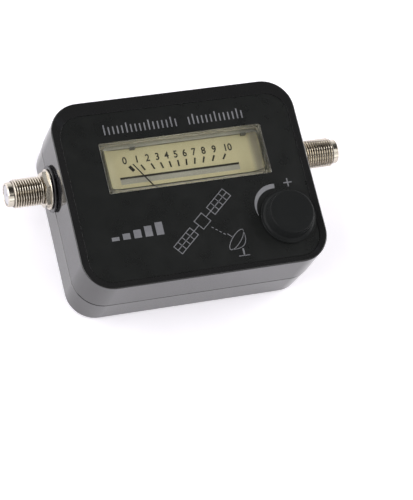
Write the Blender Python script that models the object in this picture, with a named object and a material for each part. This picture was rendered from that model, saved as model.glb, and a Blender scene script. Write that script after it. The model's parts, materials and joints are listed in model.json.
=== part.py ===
"""Satellite signal meter: a flat black case with a needle meter under a clear
window, a skirted level knob and a threaded coaxial socket at each end.

The model lies on its back: the back face is on z = 0, the printed face looks
up, +X runs along the two sockets and +Y runs towards the top edge of the face.
All lengths are metres. Heights go up from the back face, and a socket's own
lengths go outwards from the case's end wall.
"""

import math

import bmesh
import bpy
from mathutils import Vector

# Case
CASE_LENGTH = 0.0800
CASE_WIDTH = 0.0616
CASE_DEPTH = 0.0298
CASE_CORNER = 0.0098
FRONT_SHELL_DEPTH = 0.0156
FACE_THICKNESS = 0.0022
FRONT_WALL = 0.0020
FLOOR_THICKNESS = 0.0022
FACE_ROUNDING = 0.0004
BACK_ROUNDING = 0.0010
SEAM_GAP = 0.0003
SEAM_STEP = 0.00035
BACK_DRAFT = 0.0003
LIP_HEIGHT = 0.0015
LIP_THICKNESS = 0.0010

# Clearances and cutting overrun
FIT_GAP = 0.0003
TURN_GAP = 0.0002
SLIM_GAP = 0.0001
OVERRUN = 0.0010
SAME_POINT = 0.000001

# Case screws
CASE_SCREW_INSET_X = 0.0078
CASE_SCREW_INSET_Y = 0.0072
CASE_SCREW_RADIUS = 0.0013
CASE_SCREW_HEAD_RADIUS = 0.0025
CASE_SCREW_HEAD_HEIGHT = 0.0016
CASE_SCREW_SEAT = 0.0034
CASE_SCREW_TIP_DROP = 0.0055
CASE_BOSS_RADIUS = 0.0027
CASE_COLLAR_WALL = 0.0012
CASE_COLLAR_TOP = 0.0049

# Face label in its shallow recess
LABEL_MARGIN_X = 0.0026
LABEL_MARGIN_Y = 0.0033
LABEL_DROP = 0.0012
LABEL_CORNER = 0.0072
LABEL_THICKNESS = 0.0003
LABEL_RECESS = 0.0005

# Window and its clear cover
WINDOW_LENGTH = 0.0533
WINDOW_WIDTH = 0.0169
WINDOW_X = 0.0006
WINDOW_PLACE_SHARE = 0.1323
WINDOW_CORNER = 0.0004
COVER_SINK = 0.00015
COVER_PLATE = 0.0012
COVER_WALL = 0.0010
COVER_INNER_CORNER = 0.0016
COVER_FLANGE_WIDTH = 0.0015
COVER_FLANGE_THICKNESS = 0.0007
COVER_HEIGHT = 0.00445

# Dial
DIAL_THICKNESS = 0.0005
DIAL_END_RUN = 0.0047
DIAL_END_RISE = 0.0030
DIAL_CORNER = 0.0013
DIAL_CLIP_LENGTH = 0.0016
DIAL_CLIP_REACH = 0.0007
DIAL_CLIP_HEIGHT = 0.0011
DIAL_CLIP_PLACE_SHARES = {"left": -0.60, "right": 0.85}

# Meter base with its movement well
BASE_THICKNESS = 0.0020
WEB_THICKNESS = 0.0012
WELL_RADIUS = 0.0098
WELL_BORE = 0.0084
WELL_SUMP_BORE = 0.0066
WELL_OVER_BOARD = 0.0024
WELL_SUMP_HEIGHT = 0.0042
WEB_HALF_WIDTH = 0.0070
EAR_RADIUS = 0.0028
EAR_REACH = 0.00225
EAR_PLACE_SHARES = ((-0.73, 1), (0.73, 1), (-0.80, -1), (0.66, -1))
METER_BOSS_RADIUS = 0.0019
METER_BOSS_HEIGHT = 0.0032
METER_SCREW_RADIUS = 0.0008
METER_SCREW_HEAD_RADIUS = 0.0018
METER_SCREW_HEAD_HEIGHT = 0.0013
METER_SCREW_LENGTH = 0.0038

# Needle movement about its upright axis
NEEDLE_AXIS_X = -0.0007
NEEDLE_PLACE_SHARE = -0.2224
NEEDLE_REST_DEG = 32.3
NEEDLE_TIP_RISE = 0.00165
NEEDLE_ROOT_WIDTH = 0.0005
NEEDLE_TIP_WIDTH = 0.00025
NEEDLE_THICKNESS = 0.0003
NEEDLE_OVER_DIAL = 0.0009
NEEDLE_SWEEP_HALF = 0.0130
HUB_RADIUS = 0.0013
HUB_THICKNESS = 0.0005
PIVOT_TIP_RADIUS = 0.0003
PIVOT_TIP_LENGTH = 0.0005
TAIL_LENGTH = 0.0052
WEIGHT_RADIUS = 0.0009
WEIGHT_HEIGHT = 0.0008
STAFF_RADIUS = 0.0004
YOKE_BORE = 0.0063
YOKE_UNDER_TRAY = 0.0034
CORE_RADIUS = 0.0042
CORE_SPACER_WIDTH = 0.0020
CORE_SPACER_DROP = 0.0010
COIL_INNER_REACH = 0.0047
COIL_BAR = 0.0009
COIL_WIDTH = 0.0024
COIL_END_GAP = 0.0007
BRIDGE_REACH = 0.0078
BRIDGE_WIDTH = 0.0030
BRIDGE_THICKNESS = 0.0008
BRIDGE_LEG = 0.0012
JEWEL_RADIUS = 0.0011
JEWEL_CUP_RADIUS = 0.0006
JEWEL_CUP_DEPTH = 0.0004
SPRING_INNER_RADIUS = 0.0011
SPRING_OUTER_RADIUS = 0.0034
SPRING_WIRE_RADIUS = 0.00012
SPRING_OVER_COIL = 0.0006
SPRING_TURNS = 3
SPRING_POINTS_PER_TURN = 12
TERMINAL_RADIUS = 0.0006
TERMINAL_LENGTH = 0.0046
TERMINAL_SPREAD = 0.0048
TERMINAL_OFF_WELL = 0.0009

# Backlight
LAMP_RADIUS = 0.0015
LAMP_LENGTH = 0.0046
LAMP_LEAD_RADIUS = 0.00025
LAMP_LEAD_SPREAD = 0.0009
LAMP_PLACE_SHARE = 0.48

# Level control and knob
KNOB_INSET_X = 0.0114
KNOB_INSET_Y = 0.0152
KNOB_RADIUS = 0.00745
KNOB_HEIGHT = 0.0050
KNOB_ROUNDING = 0.0004
KNOB_WAIST_RADIUS = 0.0076
KNOB_SKIRT_RADIUS = 0.0089
KNOB_SKIRT_EDGE = 0.0005
KNOB_SKIRT_RISE = 0.0012
KNOB_DISH_RADIUS = 0.0056
KNOB_DISH_FLAT = 0.0034
KNOB_DISH_DEPTH = 0.0007
KNOB_HOLLOW_RADIUS = 0.0056
KNOB_ROOF = 0.0034
CONTROL_RADIUS = 0.0055
CONTROL_HEIGHT = 0.0066
BUSH_RADIUS = 0.0035
BUSH_HEIGHT = 0.0037
SHAFT_RADIUS = 0.0025
SHAFT_OVER_FACE = 0.0032
CONTROL_NUT_FLATS = 0.0085
CONTROL_NUT_HEIGHT = 0.0012
CONTROL_PIN_WIDTH = 0.0010
CONTROL_PIN_THICKNESS = 0.0004
CONTROL_PIN_LENGTH = 0.0028
CONTROL_PIN_PITCH = 0.0025

# Coaxial sockets
SOCKET_PLACE_SHARE = 0.14286
SOCKET_HEIGHT_SHARE = 0.547
SOCKET_REACH = 0.0149
SEAL_SPACE = 0.0012
SEAL_RADIUS = 0.0075
SEAL_ROUNDING = 0.0003
FLANGE_THICKNESS = 0.0005
FLANGE_RADIUS = 0.0064
HEX_THICKNESS = 0.0017
HEX_FLATS = 0.0105
HEX_TURN_DEG = 11.2
THREAD_RADIUS = 0.0046
THREAD_DEPTH = 0.00045
THREAD_PITCH = 0.00083
TIP_LENGTH = 0.0024
TIP_RADIUS = 0.0039
TIP_CHAMFER = 0.0003
SOCKET_BORE = 0.0032
SOCKET_NECK_RADIUS = 0.00455
SOCKET_INNER_SPARE = 0.0008
INSULATOR_SINK = 0.0002
CONTACT_HOLE_RADIUS = 0.00045
CONTACT_RADIUS = 0.0008
CONTACT_SINK = 0.0010
CONTACT_TAIL = 0.0020
CONTACT_LEG_RADIUS = 0.0005
TAG_THICKNESS = 0.0004
TAG_RADIUS = 0.0066
TAG_STRIP_WIDTH = 0.0030
LOCK_NUT_FLATS = 0.0120
LOCK_NUT_THICKNESS = 0.0022
PAD_HALF_WIDTH = 0.0076
PAD_HALF_HEIGHT = 0.0080

# Circuit board
BOARD_MARGIN_X = 0.0043
BOARD_THICKNESS = 0.0016
BOARD_UNDER_NUT = 0.00177
STANDOFF_RADIUS = 0.0023
PEG_RADIUS = 0.0009
BOARD_SCREW_INSET_X = 0.0082
BOARD_SCREW_INSET_Y = 0.0053
BOARD_SCREW_RADIUS = 0.0008
BOARD_SCREW_HEAD_RADIUS = 0.0018
BOARD_SCREW_HEAD_HEIGHT = 0.0013

# Parts on the circuit board, with places as shares of the board's half sizes
CAPACITOR_RADIUS = 0.0025
CAPACITOR_HEIGHT = 0.0065
CAPACITOR_PLACE_SHARES = (-0.55, -0.55)
CHOKE_RADIUS = 0.0030
CHOKE_WAIST = 0.0019
CHOKE_HEIGHT = 0.0046
CHOKE_RIM = 0.0008
CHOKE_PLACE_SHARES = (0.52, 0.15)
CHIP_LENGTH = 0.0096
CHIP_WIDTH = 0.0062
CHIP_HEIGHT = 0.0032
CHIP_PLACE_SHARES = (0.05, 0.62)
CHIP_LEG_WIDTH = 0.0006
CHIP_LEG_REACH = 0.0012
CHIP_LEG_PITCH = 0.00254
CHIP_LEG_ROWS = 4

# Wires
WIRE_RADIUS = 0.0005
WIRE_STEPS = 7

# Facets
CORNER_STEPS = 6
SMALL_CORNER_STEPS = 3
ROUNDING_STEPS = 3
DIAL_END_STEPS = 6
BIG_ROUND = 32
MID_ROUND = 20
SMALL_ROUND = 12
LEAD_ROUND = 8
HEXAGON = 6
SMOOTH_BELOW_DEG = 35.0

# Sizes, heights and places that several pieces share
LABEL_LENGTH = CASE_LENGTH - 2 * LABEL_MARGIN_X
LABEL_WIDTH = CASE_WIDTH - 2 * LABEL_MARGIN_Y
WINDOW_Y = WINDOW_PLACE_SHARE * CASE_WIDTH
NEEDLE_AXIS_Y = NEEDLE_PLACE_SHARE * CASE_WIDTH
NEEDLE_LENGTH = (WINDOW_Y + NEEDLE_TIP_RISE - NEEDLE_AXIS_Y) / math.cos(math.radians(NEEDLE_REST_DEG))
KNOB_X = CASE_LENGTH / 2 - KNOB_INSET_X
KNOB_Y = KNOB_INSET_Y - CASE_WIDTH / 2
SOCKET_Y = SOCKET_PLACE_SHARE * CASE_WIDTH
SOCKET_Z = SOCKET_HEIGHT_SHARE * CASE_DEPTH
COLLAR_RADIUS = CASE_SCREW_HEAD_RADIUS + FIT_GAP + CASE_COLLAR_WALL
BOARD_LENGTH = CASE_LENGTH - 2 * BOARD_MARGIN_X
BOARD_WIDTH = CASE_WIDTH - 2 * (CASE_SCREW_INSET_Y + COLLAR_RADIUS + FIT_GAP)
BOARD_HEIGHT = SOCKET_Z - LOCK_NUT_FLATS / math.sqrt(3) - BOARD_UNDER_NUT - BOARD_THICKNESS
SEAM_HEIGHT = CASE_DEPTH - FRONT_SHELL_DEPTH
CEILING = CASE_DEPTH - FACE_THICKNESS
RECESS_FLOOR = CASE_DEPTH - LABEL_RECESS
LABEL_TOP = RECESS_FLOOR + SLIM_GAP + LABEL_THICKNESS
LIP_TOP = SEAM_HEIGHT + LIP_HEIGHT
INNER_INSET = FRONT_WALL + FIT_GAP + LIP_THICKNESS
COVER_TOP = CASE_DEPTH - COVER_SINK
COVER_FOOT = COVER_TOP - COVER_HEIGHT
FLANGE_TOP = CEILING - FIT_GAP
FLANGE_FOOT = FLANGE_TOP - COVER_FLANGE_THICKNESS
BASE_TOP = COVER_FOOT - FIT_GAP
BASE_BOTTOM = BASE_TOP - BASE_THICKNESS
POCKET_FLOOR = BASE_TOP - DIAL_THICKNESS - FIT_GAP
BOARD_TOP = BOARD_HEIGHT + BOARD_THICKNESS
BOARD_SEAT = BOARD_TOP + FIT_GAP
WELL_BOTTOM = BOARD_TOP + WELL_OVER_BOARD
WELL_LEDGE = WELL_BOTTOM + WELL_SUMP_HEIGHT
WELL_FLOOR = WELL_BOTTOM + WEB_THICKNESS
NEEDLE_HEIGHT = BASE_TOP + NEEDLE_OVER_DIAL
HUB_BOTTOM = NEEDLE_HEIGHT - HUB_THICKNESS / 2
HUB_TOP = NEEDLE_HEIGHT + HUB_THICKNESS / 2
BRIDGE_BOTTOM = HUB_TOP + 2 * TURN_GAP
BRIDGE_TOP = BRIDGE_BOTTOM + BRIDGE_THICKNESS
YOKE_BOTTOM = WELL_LEDGE + FIT_GAP
YOKE_TOP = BASE_TOP - YOKE_UNDER_TRAY
YOKE_RADIUS = WELL_BORE - FIT_GAP
COIL_BOTTOM = YOKE_BOTTOM - COIL_END_GAP - COIL_BAR
COIL_TOP = YOKE_TOP + COIL_END_GAP + COIL_BAR
JEWEL_TOP = WELL_FLOOR + FIT_GAP + 2 * JEWEL_CUP_DEPTH
TERMINAL_TOP = BASE_BOTTOM - FIT_GAP
TERMINAL_FOOT = TERMINAL_TOP - TERMINAL_LENGTH
CONTROL_TOP = CEILING - FIT_GAP
CONTROL_BOTTOM = CONTROL_TOP - CONTROL_HEIGHT
BUSH_TOP = CONTROL_TOP + BUSH_HEIGHT
CONTROL_PIN_FOOT = CONTROL_BOTTOM - CONTROL_PIN_LENGTH
SHAFT_FOOT = CONTROL_BOTTOM + CONTROL_HEIGHT / 2
SHAFT_TOP = CASE_DEPTH + SHAFT_OVER_FACE
KNOB_FOOT = LABEL_TOP + FIT_GAP
KNOB_TOP = CASE_DEPTH + KNOB_HEIGHT
BOARD_SCREW_X = BOARD_LENGTH / 2 - BOARD_SCREW_INSET_X
BOARD_SCREW_Y = BOARD_WIDTH / 2 - BOARD_SCREW_INSET_Y
BOARD_SCREW_LENGTH = BOARD_SEAT - FLOOR_THICKNESS - 3 * FIT_GAP
CASE_SCREW_FACE = CASE_SCREW_SEAT - FIT_GAP
CASE_SCREW_LENGTH = CEILING - CASE_SCREW_TIP_DROP - CASE_SCREW_FACE
SOCKET_X = CASE_LENGTH / 2
SEAL_FACE = TURN_GAP
FLANGE_FACE = SEAL_SPACE
HEX_FACE = FLANGE_FACE + FLANGE_THICKNESS
THREAD_START = HEX_FACE + HEX_THICKNESS
TIP_START = SOCKET_REACH - TIP_LENGTH
TAG_FACE = -(INNER_INSET + FIT_GAP)
LOCK_NUT_FACE = TAG_FACE - TAG_THICKNESS - FIT_GAP
SOCKET_END = LOCK_NUT_FACE - LOCK_NUT_THICKNESS - SOCKET_INNER_SPARE
HALF_TURN = math.pi
QUARTER_TURN = math.pi / 2
FULL_TURN = 2 * math.pi
ORIGIN = Vector((0, 0, 0))
NO_TURN = (0, 0, 0)


def material(name, color, roughness, metallic=0.0, see_through=0.0):
    """A named finish."""
    finish = bpy.data.materials.new(name)
    finish.use_nodes = True
    shader = finish.node_tree.nodes["Principled BSDF"]
    shader.inputs["Base Color"].default_value = (*color, 1.0)
    shader.inputs["Roughness"].default_value = roughness
    shader.inputs["Metallic"].default_value = metallic
    shader.inputs["Transmission Weight"].default_value = see_through
    return finish


def placed(name, data, finish, place=ORIGIN, turn=NO_TURN, parent=None):
    """Show a mesh or a curve as one named piece."""
    piece = bpy.data.objects.new(name, data)
    bpy.context.scene.collection.objects.link(piece)
    piece.parent = parent
    piece.location = place
    piece.rotation_euler = turn
    if finish and not data.materials:
        data.materials.append(finish)
    return piece


def mesh_of(*solids):
    """One mesh that holds the solids, shaded smooth on its rounds."""
    whole = bmesh.new()
    for solid in solids:
        bmesh.ops.recalc_face_normals(solid, faces=solid.faces)
        part = bpy.data.meshes.new("solid")
        solid.to_mesh(part)
        solid.free()
        whole.from_mesh(part)
        bpy.data.meshes.remove(part)
    mesh = bpy.data.meshes.new("piece")
    whole.to_mesh(mesh)
    whole.free()
    mesh.shade_smooth()
    mesh.set_sharp_from_angle(angle=math.radians(SMOOTH_BELOW_DEG))
    return mesh


def combine(piece, name, operation, *solids, place=ORIGIN, turn=NO_TURN, parent=None):
    """Join hidden solids to a piece, cut them away, or keep what they share."""
    tool = placed(name, mesh_of(*solids), None, place, turn, parent)
    tool.hide_render = True
    tool.display_type = "WIRE"
    step = piece.modifiers.new(name, "BOOLEAN")
    step.operation = operation
    step.object = tool


def moved(solid, offset):
    """Shift a solid."""
    bmesh.ops.translate(solid, verts=solid.verts, vec=Vector(offset))
    return solid


def prism(outline, low, high):
    """An outline in plan, extruded from one height to another."""
    solid = bmesh.new()
    base = solid.faces.new([solid.verts.new((x, y, low)) for x, y in outline])
    grown = bmesh.ops.extrude_face_region(solid, geom=[base])
    top = [item for item in grown["geom"] if isinstance(item, bmesh.types.BMVert)]
    bmesh.ops.translate(solid, verts=top, vec=(0, 0, high - low))
    return solid


def block(corner, other_corner):
    """A box between two corners, given in any order."""
    low = [min(pair) for pair in zip(corner, other_corner)]
    high = [max(pair) for pair in zip(corner, other_corner)]
    outline = [(low[0], low[1]), (high[0], low[1]), (high[0], high[1]), (low[0], high[1])]
    return prism(outline, low[2], high[2])


def polygon(radius, corners, first_angle=0.0):
    """Corners of a regular polygon."""
    angles = [first_angle + FULL_TURN * step / corners for step in range(corners)]
    return [(radius * math.cos(angle), radius * math.sin(angle)) for angle in angles]


def hex_outline(flats, first_angle=0.0):
    """A hexagon of a given width across its flats."""
    return polygon(flats / math.sqrt(3), HEXAGON, first_angle)


def rod(radius, low, high, at=(0, 0), facets=MID_ROUND):
    """An upright cylinder."""
    return moved(prism(polygon(radius, facets), low, high), (at[0], at[1], 0))


def turning(profile, facets=MID_ROUND, closed=False):
    """Spin a profile of (height, radius) points round the upright axis."""
    solid = bmesh.new()
    points = [solid.verts.new((radius, 0, height)) for height, radius in profile]
    edges = [solid.edges.new(pair) for pair in zip(points, points[1:])]
    if closed:
        edges.append(solid.edges.new((points[-1], points[0])))
    bmesh.ops.spin(solid, geom=points + edges, cent=ORIGIN, axis=(0, 0, 1), dvec=ORIGIN,
                   angle=FULL_TURN, steps=facets, use_merge=True)
    bmesh.ops.remove_doubles(solid, verts=solid.verts, dist=SAME_POINT)
    return solid


def rounded_outline(length, width, radius, steps):
    """A rectangle with round corners about the origin."""
    outline = []
    for quarter, (side_x, side_y) in enumerate(((1, 1), (-1, 1), (-1, -1), (1, -1))):
        centre_x = side_x * (length / 2 - radius)
        centre_y = side_y * (width / 2 - radius)
        for step in range(steps + 1):
            angle = QUARTER_TURN * (quarter + step / steps)
            outline.append((centre_x + radius * math.cos(angle), centre_y + radius * math.sin(angle)))
    return outline


def ring_loft(length, width, rings, steps):
    """Round rectangles, each an (inset, height, corner radius), joined in turn and capped."""
    solid = bmesh.new()
    loops = []
    for inset, height, corner in rings:
        outline = rounded_outline(length - 2 * inset, width - 2 * inset, corner, steps)
        loops.append([solid.verts.new((x, y, height)) for x, y in outline])
    solid.faces.new(loops[0])
    solid.faces.new(loops[-1])
    count = len(loops[0])
    for lower, upper in zip(loops, loops[1:]):
        for index in range(count):
            after = (index + 1) % count
            solid.faces.new((lower[index], lower[after], upper[after], upper[index]))
    return solid


def case_rings(levels):
    """Case outlines at (inset, height), whose corners shrink with the inset."""
    return [(inset, height, CASE_CORNER - inset) for inset, height in levels]


def window_prism(low, high):
    """The window's opening as a solid."""
    outline = rounded_outline(WINDOW_LENGTH, WINDOW_WIDTH, WINDOW_CORNER, SMALL_CORNER_STEPS)
    return moved(prism(outline, low, high), (WINDOW_X, WINDOW_Y, 0))


def screw(head_radius, head_height, radius, length):
    """A pan-head screw that points up, its head's seat on the origin."""
    edge = head_height / 3
    head = [(-head_height, 0), (-head_height, head_radius - edge), (edge - head_height, head_radius)]
    shank = [(0, head_radius), (0, radius), (length - radius, radius), (length, radius / 2), (length, 0)]
    return turning(head + shank, SMALL_ROUND)


def wire(name, points, finish, radius=WIRE_RADIUS):
    """A round wire through points, with closed ends."""
    curve = bpy.data.curves.new(name, "CURVE")
    curve.dimensions = "3D"
    curve.bevel_depth = radius
    curve.bevel_resolution = 2
    curve.use_fill_caps = True
    spline = curve.splines.new("POLY")
    spline.points.add(len(points) - 1)
    for target, point in zip(spline.points, points):
        target.co = (*point, 1.0)
    placed(name, curve, finish)


def eased_line(start, end):
    """Points from start to end that leave and arrive upright."""
    line = []
    for step in range(WIRE_STEPS + 1):
        share = step / WIRE_STEPS
        side = (1 - math.cos(HALF_TURN * share)) / 2
        line.append((start[0] + (end[0] - start[0]) * side,
                     start[1] + (end[1] - start[1]) * side,
                     start[2] + (end[2] - start[2]) * share))
    return line


def axis_empty(name, x, y, turn_deg=0.0):
    """An empty on a joint's axis, which carries the pieces that turn."""
    empty = bpy.data.objects.new(name, None)
    bpy.context.scene.collection.objects.link(empty)
    empty.location = (x, y, 0)
    empty.rotation_euler = (0, 0, math.radians(turn_deg))
    return empty


def case_screw_places():
    """The four corner screws, in plan."""
    x = CASE_LENGTH / 2 - CASE_SCREW_INSET_X
    y = CASE_WIDTH / 2 - CASE_SCREW_INSET_Y
    return [(side_x * x, side_y * y) for side_x in (-1, 1) for side_y in (-1, 1)]


def ear_places():
    """The four screw ears round the meter's tray, in plan."""
    half_length = WINDOW_LENGTH / 2 + COVER_FLANGE_WIDTH
    half_width = WINDOW_WIDTH / 2 + COVER_FLANGE_WIDTH
    return [(WINDOW_X + share * half_length, WINDOW_Y + side * (half_width + EAR_REACH))
            for share, side in EAR_PLACE_SHARES]


def board_screw_places():
    """Two corners of the board that screws hold, then the two that pegs hold."""
    x, y = BOARD_SCREW_X, BOARD_SCREW_Y
    return [(-x, y), (x, -y)], [(-x, -y), (x, y)]


def lamp_places():
    """The two backlight lamps under the dial, in plan."""
    reach = LAMP_PLACE_SHARE * (WINDOW_LENGTH / 2 - COVER_WALL)
    return [(WINDOW_X - reach, WINDOW_Y), (WINDOW_X + reach, WINDOW_Y)]


def terminal_places():
    """The meter's two terminals under the web, in plan."""
    y = NEEDLE_AXIS_Y + WELL_RADIUS + TERMINAL_OFF_WELL
    return [(NEEDLE_AXIS_X - TERMINAL_SPREAD, y), (NEEDLE_AXIS_X + TERMINAL_SPREAD, y)]


def socket_hole():
    """A rod for both socket holes, laid through both end walls by its place and turn."""
    return rod(SOCKET_NECK_RADIUS + FIT_GAP, -SOCKET_X - OVERRUN, SOCKET_X + OVERRUN)


def front_shell(finish):
    """Upper case half: the face, its window, its bosses and part of each socket hole."""
    levels = [(FRONT_WALL, CEILING), (FRONT_WALL, SEAM_HEIGHT), (0, SEAM_HEIGHT)]
    for step in range(ROUNDING_STEPS + 1):
        angle = QUARTER_TURN * step / ROUNDING_STEPS
        inset = FACE_ROUNDING * (1 - math.cos(angle))
        levels.append((inset, CASE_DEPTH - FACE_ROUNDING * (1 - math.sin(angle))))
    body = ring_loft(CASE_LENGTH, CASE_WIDTH, case_rings(levels), CORNER_STEPS)
    shell = placed("front_shell", mesh_of(body), finish)

    root = CEILING + FACE_THICKNESS / 3
    bosses = [rod(CASE_BOSS_RADIUS, LIP_TOP + SEAM_GAP, root, place) for place in case_screw_places()]
    bosses += [rod(METER_BOSS_RADIUS, CEILING - METER_BOSS_HEIGHT, root, place) for place in ear_places()]
    combine(shell, "front_bosses", "UNION", *bosses)

    near = CASE_LENGTH / 2 - INNER_INSET
    far = CASE_LENGTH / 2 - FRONT_WALL / 2
    pads = [block((side * near, SOCKET_Y - PAD_HALF_WIDTH, SEAM_HEIGHT),
                  (side * far, SOCKET_Y + PAD_HALF_WIDTH, SOCKET_Z + PAD_HALF_HEIGHT)) for side in (-1, 1)]
    combine(shell, "front_pads", "UNION", *pads)

    length = LABEL_LENGTH + 2 * SLIM_GAP
    width = LABEL_WIDTH + 2 * SLIM_GAP
    recess = rounded_outline(length, width, LABEL_CORNER, CORNER_STEPS)
    combine(shell, "label_recess", "DIFFERENCE", prism(recess, RECESS_FLOOR, CASE_DEPTH + OVERRUN),
            place=(0, -LABEL_DROP, 0))

    low = CEILING - OVERRUN
    holes = [window_prism(low, CASE_DEPTH + OVERRUN),
             rod(BUSH_RADIUS + FIT_GAP, low, CASE_DEPTH + OVERRUN, (KNOB_X, KNOB_Y))]
    pilot_top = CASE_SCREW_SEAT + CASE_SCREW_LENGTH + OVERRUN
    holes += [rod(CASE_SCREW_RADIUS + FIT_GAP, SEAM_HEIGHT, pilot_top, place, SMALL_ROUND)
              for place in case_screw_places()]
    pilot_bottom = low - METER_BOSS_HEIGHT
    pilot_radius = METER_SCREW_RADIUS + FIT_GAP
    holes += [rod(pilot_radius, pilot_bottom, CEILING - FIT_GAP, place, SMALL_ROUND)
              for place in ear_places()]
    combine(shell, "front_holes", "DIFFERENCE", *holes)
    combine(shell, "front_socket_holes", "DIFFERENCE", socket_hole(),
            place=(0, SOCKET_Y, SOCKET_Z), turn=(0, QUARTER_TURN, 0))


def back_shell(finish):
    """Lower case half: stepped in behind the seam, with a locating lip and four screw wells."""
    foot_inset = SEAM_STEP + BACK_DRAFT
    seam_face = SEAM_HEIGHT - SEAM_GAP
    levels = []
    for step in range(ROUNDING_STEPS + 1):
        angle = QUARTER_TURN * step / ROUNDING_STEPS
        inset = foot_inset + BACK_ROUNDING * (1 - math.sin(angle))
        levels.append((inset, BACK_ROUNDING * (1 - math.cos(angle))))
    levels += [(SEAM_STEP, seam_face), (FRONT_WALL + FIT_GAP, seam_face), (FRONT_WALL + FIT_GAP, LIP_TOP),
               (INNER_INSET, LIP_TOP), (INNER_INSET, FLOOR_THICKNESS)]
    body = ring_loft(CASE_LENGTH, CASE_WIDTH, case_rings(levels), CORNER_STEPS)
    shell = placed("back_shell", mesh_of(body), finish)

    root = FLOOR_THICKNESS / 2
    collars = [rod(COLLAR_RADIUS, root, CASE_COLLAR_TOP, place) for place in case_screw_places()]
    combine(shell, "back_collars", "UNION", *collars)
    screwed, pegged = board_screw_places()
    posts = [rod(CASE_BOSS_RADIUS, root, LIP_TOP, place) for place in case_screw_places()]
    posts += [rod(STANDOFF_RADIUS, root, BOARD_HEIGHT - FIT_GAP, place) for place in screwed + pegged]
    combine(shell, "back_posts", "UNION", *posts)
    pegs = [rod(PEG_RADIUS, root, BOARD_TOP + FIT_GAP, place, SMALL_ROUND) for place in pegged]
    combine(shell, "board_pegs", "UNION", *pegs)

    near = CASE_LENGTH / 2 - INNER_INSET - OVERRUN
    far = CASE_LENGTH / 2 - FRONT_WALL
    half_width = PAD_HALF_WIDTH + FIT_GAP
    notches = [block((side * near, SOCKET_Y - half_width, seam_face),
                     (side * far, SOCKET_Y + half_width, LIP_TOP + OVERRUN)) for side in (-1, 1)]
    combine(shell, "lip_notches", "DIFFERENCE", *notches)

    well = [(-OVERRUN, 0), (-OVERRUN, CASE_SCREW_HEAD_RADIUS + FIT_GAP),
            (CASE_SCREW_SEAT, CASE_SCREW_HEAD_RADIUS + FIT_GAP),
            (CASE_SCREW_SEAT, CASE_SCREW_RADIUS + FIT_GAP),
            (LIP_TOP + OVERRUN, CASE_SCREW_RADIUS + FIT_GAP), (LIP_TOP + OVERRUN, 0)]
    holes = [moved(turning(well), (x, y, 0)) for x, y in case_screw_places()]
    holes += [rod(BOARD_SCREW_RADIUS + FIT_GAP, FLOOR_THICKNESS + FIT_GAP, BOARD_HEIGHT, place, SMALL_ROUND)
              for place in screwed]
    combine(shell, "back_holes", "DIFFERENCE", *holes)
    combine(shell, "back_socket_holes", "DIFFERENCE", socket_hole(),
            place=(0, SOCKET_Y, SOCKET_Z), turn=(0, QUARTER_TURN, 0))


def case_screws(finish):
    """Four screws that come up from the back and hold the two halves together."""
    mesh = mesh_of(screw(CASE_SCREW_HEAD_RADIUS, CASE_SCREW_HEAD_HEIGHT,
                         CASE_SCREW_RADIUS, CASE_SCREW_LENGTH))
    for number, (x, y) in enumerate(case_screw_places(), 1):
        placed(f"case_screw_{number}", mesh, finish, (x, y, CASE_SCREW_FACE))


def face_label(finish):
    """Printed sheet in the recess, open at the window and at the knob's nut."""
    outline = rounded_outline(LABEL_LENGTH, LABEL_WIDTH, LABEL_CORNER - SLIM_GAP, CORNER_STEPS)
    sheet = mesh_of(prism(outline, RECESS_FLOOR + SLIM_GAP, LABEL_TOP))
    label = placed("face_label", sheet, finish, (0, -LABEL_DROP, 0))
    low = RECESS_FLOOR - OVERRUN
    nut_hole = rod(CONTROL_NUT_FLATS / math.sqrt(3) + FIT_GAP, low, CASE_DEPTH + OVERRUN, (KNOB_X, KNOB_Y))
    combine(label, "label_holes", "DIFFERENCE", window_prism(low, CASE_DEPTH + OVERRUN), nut_hole)


def window_cover(finish):
    """Clear moulded cover: a thick-edged lid that fills the window, on a flange under the face."""
    ceiling = COVER_TOP - COVER_PLATE
    rings = [(COVER_WALL, ceiling, COVER_INNER_CORNER), (COVER_WALL, COVER_FOOT, COVER_INNER_CORNER),
             (0, COVER_FOOT, WINDOW_CORNER), (0, FLANGE_FOOT, WINDOW_CORNER),
             (-COVER_FLANGE_WIDTH, FLANGE_FOOT, COVER_FLANGE_WIDTH),
             (-COVER_FLANGE_WIDTH, FLANGE_TOP, COVER_FLANGE_WIDTH),
             (0, FLANGE_TOP, WINDOW_CORNER), (0, COVER_TOP, WINDOW_CORNER)]
    body = ring_loft(WINDOW_LENGTH - 2 * SLIM_GAP, WINDOW_WIDTH - 2 * SLIM_GAP, rings, SMALL_CORNER_STEPS)
    cover = placed("window_cover", mesh_of(body), finish, (WINDOW_X, WINDOW_Y, 0))
    lower_edge = WINDOW_Y - WINDOW_WIDTH / 2
    slot = block((NEEDLE_AXIS_X - NEEDLE_SWEEP_HALF, lower_edge - OVERRUN, COVER_FOOT - OVERRUN),
                 (NEEDLE_AXIS_X + NEEDLE_SWEEP_HALF, lower_edge + 2 * OVERRUN, FLANGE_FOOT - SLIM_GAP))
    combine(cover, "needle_slot", "DIFFERENCE", slot)


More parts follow.
